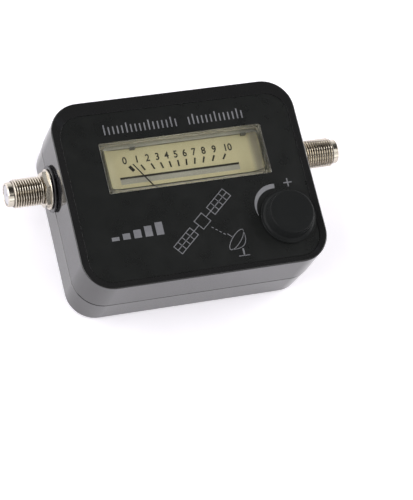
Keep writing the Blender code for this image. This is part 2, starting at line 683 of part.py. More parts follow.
def dial_plate(finish):
    """Cream dial that lies flat under the window and sweeps up at both ends."""
    half_length = WINDOW_LENGTH / 2 - COVER_WALL - FIT_GAP
    half_width = WINDOW_WIDTH / 2 - COVER_WALL - FIT_GAP
    end = []
    for step in range(DIAL_END_STEPS + 1):
        angle = QUARTER_TURN * step / DIAL_END_STEPS
        x = half_length + DIAL_END_RUN * (math.sin(angle) - 1)
        end.append((x, BASE_TOP + DIAL_END_RISE * (1 - math.cos(angle))))
    under = [(x, height - DIAL_THICKNESS) for x, height in end]
    right = end + under[::-1]
    left = [(-x, height) for x, height in right[::-1]]
    sheet = mesh_of(prism(right + left, -WINDOW_WIDTH / 2, WINDOW_WIDTH / 2))
    plate = placed("dial_plate", sheet, finish, (WINDOW_X, WINDOW_Y, 0), (QUARTER_TURN, 0, 0))
    outline = rounded_outline(2 * half_length, 2 * half_width, DIAL_CORNER, SMALL_CORNER_STEPS)
    combine(plate, "dial_outline", "INTERSECT", prism(outline, BASE_BOTTOM, CEILING + DIAL_END_RISE),
            place=(WINDOW_X, WINDOW_Y, 0))


def dial_clips(finish):
    """Two dark tabs that hold down the dial's top edge."""
    half_length = WINDOW_LENGTH / 2 - COVER_WALL - FIT_GAP
    edge = WINDOW_Y + WINDOW_WIDTH / 2 - COVER_WALL - FIT_GAP
    low = BASE_TOP + FIT_GAP
    for label, share in DIAL_CLIP_PLACE_SHARES.items():
        x = WINDOW_X + share * half_length
        tab = block((x - DIAL_CLIP_LENGTH / 2, edge - DIAL_CLIP_REACH, low),
                    (x + DIAL_CLIP_LENGTH / 2, edge, low + DIAL_CLIP_HEIGHT))
        placed(f"{label}_dial_clip", mesh_of(tab), finish)


def meter_base(finish):
    """Moulded tray under the dial, with a round well for the movement and four ears."""
    length = WINDOW_LENGTH + 2 * COVER_FLANGE_WIDTH
    width = WINDOW_WIDTH + 2 * COVER_FLANGE_WIDTH
    tray_outline = rounded_outline(length, width, COVER_FLANGE_WIDTH, SMALL_CORNER_STEPS)
    tray = prism(tray_outline, BASE_BOTTOM, BASE_TOP)
    base = placed("meter_base", mesh_of(tray), finish, (WINDOW_X, WINDOW_Y, 0))
    axis = (NEEDLE_AXIS_X, NEEDLE_AXIS_Y, 0)
    web_top = BASE_BOTTOM + WEB_THICKNESS
    web = block((NEEDLE_AXIS_X - WEB_HALF_WIDTH, NEEDLE_AXIS_Y + WELL_RADIUS / 2, BASE_BOTTOM),
                (NEEDLE_AXIS_X + WEB_HALF_WIDTH, WINDOW_Y - width / 2 + OVERRUN, web_top))
    ears = [rod(EAR_RADIUS, BASE_BOTTOM, web_top, place) for place in ear_places()]
    combine(base, "web_and_ears", "UNION", web, *ears)
    well_body = rod(WELL_RADIUS, WELL_BOTTOM, BASE_TOP, facets=BIG_ROUND)
    combine(base, "well_body", "UNION", well_body, place=axis)

    well = [(WELL_FLOOR, 0), (WELL_FLOOR, WELL_SUMP_BORE), (WELL_LEDGE, WELL_SUMP_BORE),
            (WELL_LEDGE, WELL_BORE), (BASE_TOP + OVERRUN, WELL_BORE), (BASE_TOP + OVERRUN, 0)]
    combine(base, "well_bore", "DIFFERENCE", turning(well, BIG_ROUND), place=axis)

    half_length = WINDOW_LENGTH / 2 - COVER_WALL
    half_width = WINDOW_WIDTH / 2 - COVER_WALL
    pocket = block((WINDOW_X - half_length, WINDOW_Y - half_width, POCKET_FLOOR),
                   (WINDOW_X + half_length, WINDOW_Y + half_width, BASE_TOP + OVERRUN))
    combine(base, "dial_pocket", "DIFFERENCE", pocket)
    low = BASE_BOTTOM - OVERRUN
    high = BASE_TOP + OVERRUN
    holes = [rod(METER_SCREW_RADIUS + FIT_GAP, low, high, place, SMALL_ROUND) for place in ear_places()]
    holes += [rod(LAMP_RADIUS + FIT_GAP, low, high, place, SMALL_ROUND) for place in lamp_places()]
    combine(base, "base_holes", "DIFFERENCE", *holes)


def meter_screws(finish):
    """Four screws that hold the meter's ears to the bosses under the face."""
    mesh = mesh_of(screw(METER_SCREW_HEAD_RADIUS, METER_SCREW_HEAD_HEIGHT,
                         METER_SCREW_RADIUS, METER_SCREW_LENGTH))
    for number, (x, y) in enumerate(ear_places(), 1):
        placed(f"meter_screw_{number}", mesh, finish, (x, y, BASE_BOTTOM - FIT_GAP))


def backlight(finish):
    """Two lamps in the tray's floor, on stiff leads that stand on the board."""
    top = POCKET_FLOOR - FIT_GAP
    foot = top - LAMP_LENGTH
    dome = [(foot, 0), (foot, LAMP_RADIUS), (top - LAMP_RADIUS / 2, LAMP_RADIUS),
            (top, LAMP_RADIUS / 2), (top, 0)]
    for number, (x, y) in enumerate(lamp_places(), 1):
        lamp = placed(f"backlight_lamp_{number}", mesh_of(turning(dome, SMALL_ROUND)), finish, (x, y, 0))
        lead_top = foot + LAMP_RADIUS
        leads = [rod(LAMP_LEAD_RADIUS, BOARD_SEAT, lead_top, (side * LAMP_LEAD_SPREAD, 0), LEAD_ROUND)
                 for side in (-1, 1)]
        combine(lamp, f"lamp_leads_{number}", "UNION", *leads, place=(x, y, 0))


def magnet_system(finishes):
    """Yoke ring, magnet core and the two spacers that hold the core in the yoke."""
    axis = (NEEDLE_AXIS_X, NEEDLE_AXIS_Y, 0)
    ring = [(YOKE_BOTTOM, YOKE_BORE), (YOKE_BOTTOM, YOKE_RADIUS),
            (YOKE_TOP, YOKE_RADIUS), (YOKE_TOP, YOKE_BORE)]
    placed("yoke_ring", mesh_of(turning(ring, BIG_ROUND, closed=True)), finishes["steel"], axis)
    core = rod(CORE_RADIUS, YOKE_BOTTOM, YOKE_TOP, facets=BIG_ROUND)
    placed("magnet_core", mesh_of(core), finishes["magnet"], axis)
    half_width = CORE_SPACER_WIDTH / 2
    for label, side in (("front", -1), ("rear", 1)):
        spacer = block((-half_width, side * (CORE_RADIUS + FIT_GAP), YOKE_BOTTOM + CORE_SPACER_DROP),
                       (half_width, side * (YOKE_BORE - 2 * FIT_GAP), YOKE_TOP - CORE_SPACER_DROP))
        placed(f"{label}_core_spacer", mesh_of(spacer), finishes["brass"], axis)


def movement_bearings(finishes):
    """Bridge over the needle's hub, the upper and lower jewels, and the flat hairspring."""
    axis = (NEEDLE_AXIS_X, NEEDLE_AXIS_Y, 0)
    foot = YOKE_TOP + FIT_GAP
    inner = BRIDGE_REACH - BRIDGE_LEG
    arch = [(-BRIDGE_REACH, foot), (-inner, foot), (-inner, BRIDGE_BOTTOM), (inner, BRIDGE_BOTTOM),
            (inner, foot), (BRIDGE_REACH, foot), (BRIDGE_REACH, BRIDGE_TOP), (-BRIDGE_REACH, BRIDGE_TOP)]
    body = mesh_of(prism(arch, -BRIDGE_WIDTH / 2, BRIDGE_WIDTH / 2))
    bridge = placed("movement_bridge", body, finishes["brass"], axis, (QUARTER_TURN, 0, 0))
    bore = rod(JEWEL_RADIUS + SLIM_GAP, BRIDGE_BOTTOM - OVERRUN, BRIDGE_TOP + OVERRUN)
    combine(bridge, "bridge_bore", "DIFFERENCE", bore, place=axis)

    cup = BRIDGE_BOTTOM + JEWEL_CUP_DEPTH
    upper = [(BRIDGE_TOP, 0), (BRIDGE_TOP, JEWEL_RADIUS), (BRIDGE_BOTTOM, JEWEL_RADIUS),
             (BRIDGE_BOTTOM, JEWEL_CUP_RADIUS), (cup, JEWEL_CUP_RADIUS), (cup, 0)]
    placed("upper_jewel", mesh_of(turning(upper, SMALL_ROUND)), finishes["jewel"], axis)
    foot = WELL_FLOOR + FIT_GAP
    cup = JEWEL_TOP - JEWEL_CUP_DEPTH
    lower = [(foot, 0), (foot, JEWEL_RADIUS), (JEWEL_TOP, JEWEL_RADIUS), (JEWEL_TOP, JEWEL_CUP_RADIUS),
             (cup, JEWEL_CUP_RADIUS), (cup, 0)]
    placed("lower_jewel", mesh_of(turning(lower, SMALL_ROUND)), finishes["jewel"], axis)

    height = COIL_TOP + SPRING_OVER_COIL
    total = SPRING_TURNS * SPRING_POINTS_PER_TURN
    turns = []
    for step in range(total + 1):
        angle = FULL_TURN * step / SPRING_POINTS_PER_TURN
        radius = SPRING_INNER_RADIUS + (SPRING_OUTER_RADIUS - SPRING_INNER_RADIUS) * step / total
        turns.append((NEEDLE_AXIS_X + radius * math.cos(angle),
                      NEEDLE_AXIS_Y + radius * math.sin(angle), height))
    turns.append((NEEDLE_AXIS_X + inner - FIT_GAP, NEEDLE_AXIS_Y + SPRING_INNER_RADIUS, height))
    wire("hairspring", turns, finishes["brass"], SPRING_WIRE_RADIUS)


def meter_wiring(finishes):
    """The meter's two terminals under its web, and their wires down to the board."""
    for label, (x, y) in zip(("left", "right"), terminal_places()):
        pin = rod(TERMINAL_RADIUS, TERMINAL_FOOT, TERMINAL_TOP, facets=SMALL_ROUND)
        placed(f"{label}_meter_terminal", mesh_of(pin), finishes["brass"], (x, y, 0))
        route = eased_line((x, y, TERMINAL_FOOT - FIT_GAP), (2 * x, y + TERMINAL_SPREAD, BOARD_SEAT))
        wire(f"{label}_meter_wire", route, finishes["red_wire"])


def needle_group(finishes):
    """What swings: the needle, its balance weight, the two staffs and the coil."""
    axis = axis_empty("needle_axis", NEEDLE_AXIS_X, NEEDLE_AXIS_Y, NEEDLE_REST_DEG)
    low = NEEDLE_HEIGHT - NEEDLE_THICKNESS / 2
    high = NEEDLE_HEIGHT + NEEDLE_THICKNESS / 2
    root = NEEDLE_ROOT_WIDTH / 2
    tip = NEEDLE_TIP_WIDTH / 2
    outline = [(-root, -TAIL_LENGTH), (root, -TAIL_LENGTH), (root, HUB_RADIUS), (tip, NEEDLE_LENGTH),
               (-tip, NEEDLE_LENGTH), (-root, HUB_RADIUS)]
    needle = placed("needle", mesh_of(prism(outline, low, high)), finishes["needle"], parent=axis)
    pivot_tip = HUB_TOP + PIVOT_TIP_LENGTH
    hub = [(HUB_BOTTOM, 0), (HUB_BOTTOM, HUB_RADIUS), (HUB_TOP, HUB_RADIUS), (HUB_TOP, PIVOT_TIP_RADIUS),
           (pivot_tip, PIVOT_TIP_RADIUS / 2), (pivot_tip, 0)]
    combine(needle, "needle_hub", "UNION", turning(hub), parent=axis)

    weight_top = low - FIT_GAP
    weight_place = (0, HUB_RADIUS - TAIL_LENGTH)
    weight = rod(WEIGHT_RADIUS, weight_top - WEIGHT_HEIGHT, weight_top, weight_place, SMALL_ROUND)
    placed("balance_weight", mesh_of(weight), finishes["brass"], parent=axis)
    upper = rod(STAFF_RADIUS, COIL_TOP + FIT_GAP, HUB_BOTTOM - FIT_GAP, facets=SMALL_ROUND)
    placed("upper_staff", mesh_of(upper), finishes["steel"], parent=axis)
    lower = rod(STAFF_RADIUS, JEWEL_TOP - JEWEL_CUP_DEPTH / 2, COIL_BOTTOM - FIT_GAP, facets=SMALL_ROUND)
    placed("lower_staff", mesh_of(lower), finishes["steel"], parent=axis)

    outer = COIL_INNER_REACH + COIL_BAR
    frame = block((-outer, -COIL_WIDTH / 2, COIL_BOTTOM), (outer, COIL_WIDTH / 2, COIL_TOP))
    coil = placed("moving_coil", mesh_of(frame), finishes["copper"], parent=axis)
    opening = block((-COIL_INNER_REACH, -COIL_WIDTH, COIL_BOTTOM + COIL_BAR),
                    (COIL_INNER_REACH, COIL_WIDTH, COIL_TOP - COIL_BAR))
    combine(coil, "coil_opening", "DIFFERENCE", opening, parent=axis)


def level_control(finishes):
    """Rotary control under the face, with its pins, its nut and its three wires."""
    place = (KNOB_X, KNOB_Y, 0)
    bore = SHAFT_RADIUS + SLIM_GAP
    bore_foot = SHAFT_FOOT - FIT_GAP
    profile = [(CONTROL_BOTTOM, 0), (CONTROL_BOTTOM, CONTROL_RADIUS), (CONTROL_TOP, CONTROL_RADIUS),
               (CONTROL_TOP, BUSH_RADIUS), (BUSH_TOP, BUSH_RADIUS), (BUSH_TOP, bore),
               (bore_foot, bore), (bore_foot, 0)]
    body = placed("control_body", mesh_of(turning(profile)), finishes["steel"], place)
    pin_y = -CONTROL_RADIUS / 2
    pins = []
    for number, column in enumerate((-1, 0, 1), 1):
        x = column * CONTROL_PIN_PITCH
        low = (x - CONTROL_PIN_WIDTH / 2, pin_y - CONTROL_PIN_THICKNESS / 2, CONTROL_PIN_FOOT)
        high = (x + CONTROL_PIN_WIDTH / 2, pin_y + CONTROL_PIN_THICKNESS / 2, CONTROL_BOTTOM + OVERRUN)
        pins.append(block(low, high))
        start = (KNOB_X + x, KNOB_Y + pin_y, CONTROL_PIN_FOOT - FIT_GAP)
        end = (start[0], start[1] + CONTROL_PIN_PITCH / 2, BOARD_SEAT)
        wire(f"control_wire_{number}", eased_line(start, end), finishes["red_wire"])
    combine(body, "control_pins", "UNION", *pins, place=place)

    nut_foot = RECESS_FLOOR + SLIM_GAP
    nut = prism(hex_outline(CONTROL_NUT_FLATS), nut_foot, nut_foot + CONTROL_NUT_HEIGHT)
    nut = placed("control_nut", mesh_of(nut), finishes["nickel"], place)
    hole = rod(BUSH_RADIUS + TURN_GAP, nut_foot - OVERRUN, nut_foot + CONTROL_NUT_HEIGHT + OVERRUN)
    combine(nut, "control_nut_hole", "DIFFERENCE", hole, place=place)


def knob_group(finishes):
    """What the hand turns: the skirted knob with a dished top, and the control's shaft."""
    axis = axis_empty("knob_axis", KNOB_X, KNOB_Y)
    shaft = rod(SHAFT_RADIUS, SHAFT_FOOT, SHAFT_TOP)
    placed("control_shaft", mesh_of(shaft), finishes["nickel"], parent=axis)

    dish = KNOB_TOP - KNOB_DISH_DEPTH
    profile = [(dish, 0), (dish, KNOB_DISH_FLAT), (KNOB_TOP, KNOB_DISH_RADIUS)]
    for step in range(ROUNDING_STEPS + 1):
        angle = QUARTER_TURN * step / ROUNDING_STEPS
        profile.append((KNOB_TOP - KNOB_ROUNDING * (1 - math.cos(angle)),
                        KNOB_RADIUS - KNOB_ROUNDING * (1 - math.sin(angle))))
    skirt_top = KNOB_FOOT + KNOB_SKIRT_EDGE
    skirt_middle = (KNOB_WAIST_RADIUS + KNOB_SKIRT_RADIUS) / 2
    bore = SHAFT_RADIUS + SLIM_GAP
    hollow = KNOB_TOP - KNOB_ROOF
    bore_top = SHAFT_TOP + SLIM_GAP
    profile += [(skirt_top + KNOB_SKIRT_RISE, KNOB_WAIST_RADIUS),
                (skirt_top + KNOB_SKIRT_RISE / 3, skirt_middle), (skirt_top, KNOB_SKIRT_RADIUS),
                (KNOB_FOOT, KNOB_SKIRT_RADIUS), (KNOB_FOOT, KNOB_HOLLOW_RADIUS),
                (hollow, KNOB_HOLLOW_RADIUS),
                (hollow, bore), (bore_top, bore), (bore_top, 0)]
    placed("knob", mesh_of(turning(profile, BIG_ROUND)), finishes["knob"], parent=axis)


def socket_body_solid():
    """Socket body without its bore: neck, flange, threaded barrel and plain tip."""
    root = THREAD_RADIUS - THREAD_DEPTH
    profile = [(SOCKET_END, 0), (SOCKET_END, SOCKET_NECK_RADIUS), (FLANGE_FACE, SOCKET_NECK_RADIUS),
               (FLANGE_FACE, FLANGE_RADIUS), (HEX_FACE, FLANGE_RADIUS), (HEX_FACE, root)]
    crests = round((TIP_START - THREAD_START) / THREAD_PITCH)
    pitch = (TIP_START - THREAD_START) / crests
    for number in range(crests):
        start = THREAD_START + number * pitch
        profile += [(start + pitch / 4, root), (start + pitch * 3 / 4, THREAD_RADIUS)]
    profile += [(TIP_START, root), (TIP_START, TIP_RADIUS), (SOCKET_REACH - TIP_CHAMFER, TIP_RADIUS),
                (SOCKET_REACH, TIP_RADIUS - TIP_CHAMFER), (SOCKET_REACH, 0)]
    return turning(profile)


def socket(label, side, finishes):
    """One coaxial socket with its seal, insulator, contact, earth tag and lock nut."""
    place = (side * SOCKET_X, SOCKET_Y, SOCKET_Z)
    turn = (0, side * QUARTER_TURN, 0)
    hex_turn = side * math.radians(HEX_TURN_DEG)
    neck_bore = SOCKET_NECK_RADIUS + FIT_GAP

    body = placed(f"{label}_socket", mesh_of(socket_body_solid()), finishes["nickel"], place, turn)
    hexagon = prism(hex_outline(HEX_FLATS, hex_turn), (FLANGE_FACE + HEX_FACE) / 2, THREAD_START)
    combine(body, f"{label}_hexagon", "UNION", hexagon, place=place, turn=turn)
    bore = rod(SOCKET_BORE, SOCKET_END - OVERRUN, SOCKET_REACH + OVERRUN)
    combine(body, f"{label}_bore", "DIFFERENCE", bore, place=place, turn=turn)

    far = FLANGE_FACE - TURN_GAP
    seal = [(SEAL_FACE, neck_bore), (far, neck_bore), (far, SEAL_RADIUS - SEAL_ROUNDING),
            (far - SEAL_ROUNDING, SEAL_RADIUS), (SEAL_FACE + SEAL_ROUNDING, SEAL_RADIUS),
            (SEAL_FACE, SEAL_RADIUS - SEAL_ROUNDING)]
    ring = mesh_of(turning(seal, BIG_ROUND, closed=True))
    placed(f"{label}_seal_ring", ring, finishes["rubber"], place, turn)

    mouth = SOCKET_REACH - INSULATOR_SINK
    contact_tip = SOCKET_REACH - CONTACT_SINK
    inner = CONTACT_RADIUS + SLIM_GAP
    outer = SOCKET_BORE - SLIM_GAP
    plug = [(SOCKET_END, inner), (SOCKET_END, outer), (mouth, outer), (mouth, CONTACT_HOLE_RADIUS),
            (contact_tip + SLIM_GAP, CONTACT_HOLE_RADIUS), (contact_tip + SLIM_GAP, inner)]
    placed(f"{label}_insulator", mesh_of(turning(plug, closed=True)), finishes["insulator"], place, turn)

    tail = SOCKET_END - CONTACT_TAIL
    pin = rod(CONTACT_RADIUS, tail, contact_tip, facets=SMALL_ROUND)
    contact = placed(f"{label}_contact", mesh_of(pin), finishes["brass"], place, turn)
    leg_x = side * (SOCKET_X + tail + CONTACT_RADIUS)
    leg = rod(CONTACT_LEG_RADIUS, BOARD_SEAT, SOCKET_Z, (leg_x, SOCKET_Y), SMALL_ROUND)
    combine(contact, f"{label}_contact_leg", "UNION", leg)

    tag_end = TAG_FACE - TAG_THICKNESS
    washer = [(tag_end, neck_bore), (tag_end, TAG_RADIUS), (TAG_FACE, TAG_RADIUS), (TAG_FACE, neck_bore)]
    tag_ring = mesh_of(turning(washer, closed=True))
    tag = placed(f"{label}_earth_tag", tag_ring, finishes["nickel"], place, turn)
    strip_top = SOCKET_Z - neck_bore - OVERRUN / 2
    strip = block((side * (SOCKET_X + tag_end), SOCKET_Y - TAG_STRIP_WIDTH / 2, BOARD_HEIGHT),
                  (side * (SOCKET_X + TAG_FACE), SOCKET_Y + TAG_STRIP_WIDTH / 2, strip_top))
    combine(tag, f"{label}_tag_strip", "UNION", strip)

    nut_end = LOCK_NUT_FACE - LOCK_NUT_THICKNESS
    nut = mesh_of(prism(hex_outline(LOCK_NUT_FLATS, hex_turn), nut_end, LOCK_NUT_FACE))
    nut = placed(f"{label}_lock_nut", nut, finishes["nickel"], place, turn)
    hole = rod(neck_bore, nut_end - OVERRUN, LOCK_NUT_FACE + OVERRUN)
    combine(nut, f"{label}_lock_nut_hole", "DIFFERENCE", hole, place=place, turn=turn)


def circuit_board(finishes):
    """Board on four standoffs, held by two screws and two pegs."""
    screwed, pegged = board_screw_places()
    plate = block((-BOARD_LENGTH / 2, -BOARD_WIDTH / 2, BOARD_HEIGHT),
                  (BOARD_LENGTH / 2, BOARD_WIDTH / 2, BOARD_TOP))
    board = placed("circuit_board", mesh_of(plate), finishes["board"])
    low = BOARD_HEIGHT - OVERRUN
    high = BOARD_TOP + OVERRUN
    holes = [rod(BOARD_SCREW_RADIUS + FIT_GAP, low, high, place, SMALL_ROUND) for place in screwed]
    holes += [rod(PEG_RADIUS + FIT_GAP, low, high, place, SMALL_ROUND) for place in pegged]
    combine(board, "board_holes", "DIFFERENCE", *holes)
    mesh = mesh_of(screw(BOARD_SCREW_HEAD_RADIUS, BOARD_SCREW_HEAD_HEIGHT,
                         BOARD_SCREW_RADIUS, BOARD_SCREW_LENGTH))
    for number, (x, y) in enumerate(screwed, 1):
        placed(f"board_screw_{number}", mesh, finishes["steel"], (x, y, BOARD_SEAT), (HALF_TURN, 0, 0))


def on_board(shares):
    """A place on the board's upper face from shares of its half sizes."""
    return shares[0] * BOARD_LENGTH / 2, shares[1] * BOARD_WIDTH / 2, BOARD_SEAT


def board_parts(finishes):
    """Amplifier chip with its legs, smoothing capacitor and feed choke."""
    place = on_board(CAPACITOR_PLACE_SHARES)
    can = rod(CAPACITOR_RADIUS, 0, CAPACITOR_HEIGHT)
    placed("smoothing_capacitor", mesh_of(can), finishes["sleeve"], place)

    upper_rim = CHOKE_HEIGHT - CHOKE_RIM
    drum = [(0, 0), (0, CHOKE_RADIUS), (CHOKE_RIM, CHOKE_RADIUS), (CHOKE_RIM, CHOKE_WAIST),
            (upper_rim, CHOKE_WAIST), (upper_rim, CHOKE_RADIUS),
            (CHOKE_HEIGHT, CHOKE_RADIUS), (CHOKE_HEIGHT, 0)]
    placed("feed_choke", mesh_of(turning(drum)), finishes["magnet"], on_board(CHOKE_PLACE_SHARES))

    place = on_board(CHIP_PLACE_SHARES)
    body = block((-CHIP_LENGTH / 2, -CHIP_WIDTH / 2, CHIP_LEG_WIDTH),
                 (CHIP_LENGTH / 2, CHIP_WIDTH / 2, CHIP_HEIGHT))
    chip = placed("amplifier_chip", mesh_of(body), finishes["chip"], place)
    legs = []
    for side in (-1, 1):
        near = side * (CHIP_WIDTH / 2 - CHIP_LEG_WIDTH)
        far = side * (CHIP_WIDTH / 2 + CHIP_LEG_REACH)
        for number in range(CHIP_LEG_ROWS):
            x = (number - (CHIP_LEG_ROWS - 1) / 2) * CHIP_LEG_PITCH
            legs.append(block((x - CHIP_LEG_WIDTH / 2, near, 0),
                              (x + CHIP_LEG_WIDTH / 2, far, CHIP_HEIGHT / 2)))
    combine(chip, "chip_legs", "UNION", *legs, place=place)


def build():
    """Clear the scene and model the whole meter."""
    for leftover in list(bpy.data.objects):
        bpy.data.objects.remove(leftover, do_unlink=True)
    finishes = {
        "nickel": material("nickel_plate", (0.72, 0.68, 0.60), 0.2, 1.0),
        "steel": material("zinc_steel", (0.60, 0.60, 0.60), 0.3, 1.0),
        "brass": material("brass", (0.72, 0.55, 0.25), 0.3, 1.0),
        "copper": material("enamelled_copper", (0.55, 0.22, 0.10), 0.35, 1.0),
        "magnet": material("dark_ferrite", (0.05, 0.05, 0.055), 0.6),
        "jewel": material("jewel", (0.45, 0.05, 0.08), 0.1),
        "needle": material("needle_black", (0.01, 0.01, 0.01), 0.5),
        "knob": material("black_knob", (0.014, 0.015, 0.015), 0.35),
        "rubber": material("black_rubber", (0.01, 0.01, 0.011), 0.4),
        "insulator": material("white_insulator", (0.78, 0.76, 0.80), 0.4),
        "board": material("green_board", (0.02, 0.16, 0.07), 0.4),
        "chip": material("chip_black", (0.02, 0.02, 0.02), 0.5),
        "sleeve": material("blue_sleeve", (0.03, 0.06, 0.22), 0.35),
        "red_wire": material("red_insulation", (0.4, 0.03, 0.03), 0.4),
    }
    gloss_black = material("gloss_black_plastic", (0.012, 0.012, 0.013), 0.18)
    front_shell(gloss_black)
    back_shell(gloss_black)
    case_screws(finishes["steel"])
    face_label(material("black_print_film", (0.016, 0.017, 0.017), 0.45))
    window_cover(material("clear_plastic", (0.92, 0.92, 0.88), 0.05, see_through=1.0))
    dial_plate(material("dial_card", (0.46, 0.42, 0.24), 0.5))
    dial_clips(finishes["chip"])
    meter_base(material("cream_plastic", (0.48, 0.44, 0.25), 0.45))
    meter_screws(finishes["steel"])
    backlight(material("lamp_glass", (0.9, 0.85, 0.6), 0.15))
    magnet_system(finishes)
    movement_bearings(finishes)
    meter_wiring(finishes)
    needle_group(finishes)
    level_control(finishes)
    knob_group(finishes)
    for label, side in (("left", -1), ("right", 1)):
        socket(label, side, finishes)
    circuit_board(finishes)
    board_parts(finishes)


build()
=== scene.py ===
# %% [markdown]
# # Dressing a satellite signal meter
# The meter is a flat black case with a needle dial behind a clear window, a level knob and a threaded
# coaxial socket at each end. Its CAD frame already holds each piece at its real size. This lesson adds what
# the eye sees: smooth mouldings, a cut thread, printed marks and a worked finish on every surface.

# %% Load the frame
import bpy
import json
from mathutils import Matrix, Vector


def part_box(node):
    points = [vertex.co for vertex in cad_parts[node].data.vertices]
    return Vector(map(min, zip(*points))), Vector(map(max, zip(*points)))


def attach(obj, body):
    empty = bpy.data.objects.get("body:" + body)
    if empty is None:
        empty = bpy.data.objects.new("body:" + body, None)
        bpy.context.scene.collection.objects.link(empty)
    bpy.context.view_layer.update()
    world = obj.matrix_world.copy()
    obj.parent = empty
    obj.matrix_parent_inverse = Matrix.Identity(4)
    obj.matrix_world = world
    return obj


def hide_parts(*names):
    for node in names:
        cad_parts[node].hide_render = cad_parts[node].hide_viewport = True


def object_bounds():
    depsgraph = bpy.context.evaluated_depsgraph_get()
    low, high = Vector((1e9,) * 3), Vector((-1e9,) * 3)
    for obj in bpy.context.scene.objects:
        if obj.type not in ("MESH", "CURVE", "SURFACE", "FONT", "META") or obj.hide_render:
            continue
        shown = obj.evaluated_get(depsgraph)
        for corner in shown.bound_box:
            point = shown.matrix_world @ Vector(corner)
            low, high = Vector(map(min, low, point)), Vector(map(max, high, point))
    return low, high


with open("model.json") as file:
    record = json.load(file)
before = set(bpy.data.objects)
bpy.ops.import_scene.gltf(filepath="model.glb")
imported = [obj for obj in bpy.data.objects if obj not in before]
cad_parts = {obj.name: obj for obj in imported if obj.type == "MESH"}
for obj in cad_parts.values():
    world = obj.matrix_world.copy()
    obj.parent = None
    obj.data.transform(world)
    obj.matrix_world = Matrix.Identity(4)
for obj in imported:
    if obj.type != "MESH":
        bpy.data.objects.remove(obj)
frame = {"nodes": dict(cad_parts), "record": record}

cad_low, cad_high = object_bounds()
print("CAD box, mm:", [round(1000 * side, 2) for side in cad_high - cad_low])

# %% Bring in Blender's own tools
import json
import math

import bmesh
import bpy
from mathutils import Matrix, Quaternion, Vector

scene = bpy.context.scene

# %% [markdown]
# ## Camera
# The photograph looks down on the face from its lower left. A long lens far away keeps the case's edges
# almost parallel, so the camera is given a place, a point to look at and a roll about its own line of sight.
# `to_track_quat` turns the camera to the point, and the roll is then a turn about its local Z axis.

# %% Place the camera
CAMERA_PLACE = Vector((-0.2306, -0.2452, 0.7143))
CAMERA_TARGET = Vector((-0.0001, -0.0226, 0.0298))
CAMERA_ROLL_DEG = 34.93
LENS_MM = 177.05

camera_data = bpy.data.cameras.new("studio_camera")
camera_data.lens = LENS_MM
camera_data.sensor_width = 36
camera_data.clip_end = 10
camera = bpy.data.objects.new("studio_camera", camera_data)
scene.collection.objects.link(camera)
scene.camera = camera
camera.location = CAMERA_PLACE
aim = (CAMERA_TARGET - CAMERA_PLACE).to_track_quat("-Z", "Y")
camera.rotation_mode = "QUATERNION"
camera.rotation_quaternion = aim @ Quaternion((0, 0, 1), math.radians(CAMERA_ROLL_DEG))
print("camera looks along", [round(share, 3) for share in aim @ Vector((0, 0, -1))])

# %% [markdown]
# ## Small mesh helpers
# Most pieces of a moulded or turned product are rings of points joined by quads, so a few helpers do nearly
# all the work: a round rectangle, a circle, a strip of quads between two rings, and a flat face that may
# have holes in it. `finished_piece` then turns the mesh into an object that rides on its CAD body.

# %% Outlines
FULL_TURN = math.tau
QUARTER_TURN = math.pi / 2


def round_rectangle(length, width, corner, steps=12):
    """Points of a rectangle with round corners, anticlockwise about its middle."""
    points = []
    for quarter, (side_x, side_y) in enumerate(((1, 1), (-1, 1), (-1, -1), (1, -1))):
        middle_x = side_x * (length / 2 - corner)
        middle_y = side_y * (width / 2 - corner)
        for step in range(steps + 1):
            angle = QUARTER_TURN * (quarter + step / steps)
            points.append((middle_x + corner * math.cos(angle), middle_y + corner * math.sin(angle)))
    return points


def circle(radius, steps=48, first_angle=0.0):
    """Points of a circle, anticlockwise about its middle."""
    angles = [first_angle + FULL_TURN * step / steps for step in range(steps)]
    return [(radius * math.cos(angle), radius * math.sin(angle)) for angle in angles]


# %% Rings, strips and flat faces
def ring(solid, points, height, middle=(0, 0)):
    """One ring of vertices at a height."""
    return [solid.verts.new((middle[0] + x, middle[1] + y, height)) for x, y in points]


def strip(solid, first, second):
    """Quads from one ring to the next, both with the same number of points."""
    count = len(first)
    for index in range(count):
        after = (index + 1) % count
        solid.faces.new((first[index], first[after], second[after], second[index]))


def stack(solid, rings):
    """Strips that join a list of rings in turn."""
    for lower, upper in zip(rings, rings[1:]):
        strip(solid, lower, upper)


def flat_face(solid, *rings):
    """A flat face inside the first ring, open inside each other ring."""
    edges = []
    for points in rings:
        for first, second in zip(points, points[1:] + points[:1]):
            edges.append(solid.edges.get((first, second)) or solid.edges.new((first, second)))
    bmesh.ops.triangle_fill(solid, use_beauty=True, use_dissolve=False, edges=edges)


def turned(profile, steps=64):
    """A closed body spun from (height, radius) points. It is capped where the radius is zero."""
    solid = bmesh.new()
    last = None
    for height, radius in profile:
        here = ring(solid, circle(radius, steps), height) if radius else [solid.verts.new((0, 0, height))]
        if last and len(here) == len(last):
            strip(solid, last, here)
        elif last:
            tip, rim = (here[0], last) if len(here) == 1 else (last[0], here)
            for first, second in zip(rim, rim[1:] + rim[:1]):
                solid.faces.new((first, second, tip))
        last = here
    return solid


def turned_ring(profile, steps=64):
    """A closed ring spun from a closed profile of (height, radius) points."""
    solid = bmesh.new()
    rings = [ring(solid, circle(radius, steps), height) for height, radius in profile]
    stack(solid, rings + rings[:1])
    return solid


EDGE_STEPS = 4


def quarter_round(size, steps=EDGE_STEPS):
    """Steps round a quarter of a circle, each as its distances from the two flat sides."""
    angles = [QUARTER_TURN * step / steps for step in range(steps + 1)]
    return [(size * (1 - math.cos(angle)), size * (1 - math.sin(angle))) for angle in angles]


def rounded_edge(height, radius, rounding, up, steps=EDGE_STEPS):
    """Profile points round an outer edge. up is 1 or -1, the way that the edge looks."""
    return [(height - up * below, radius - inward) for inward, below in quarter_round(rounding, steps)]


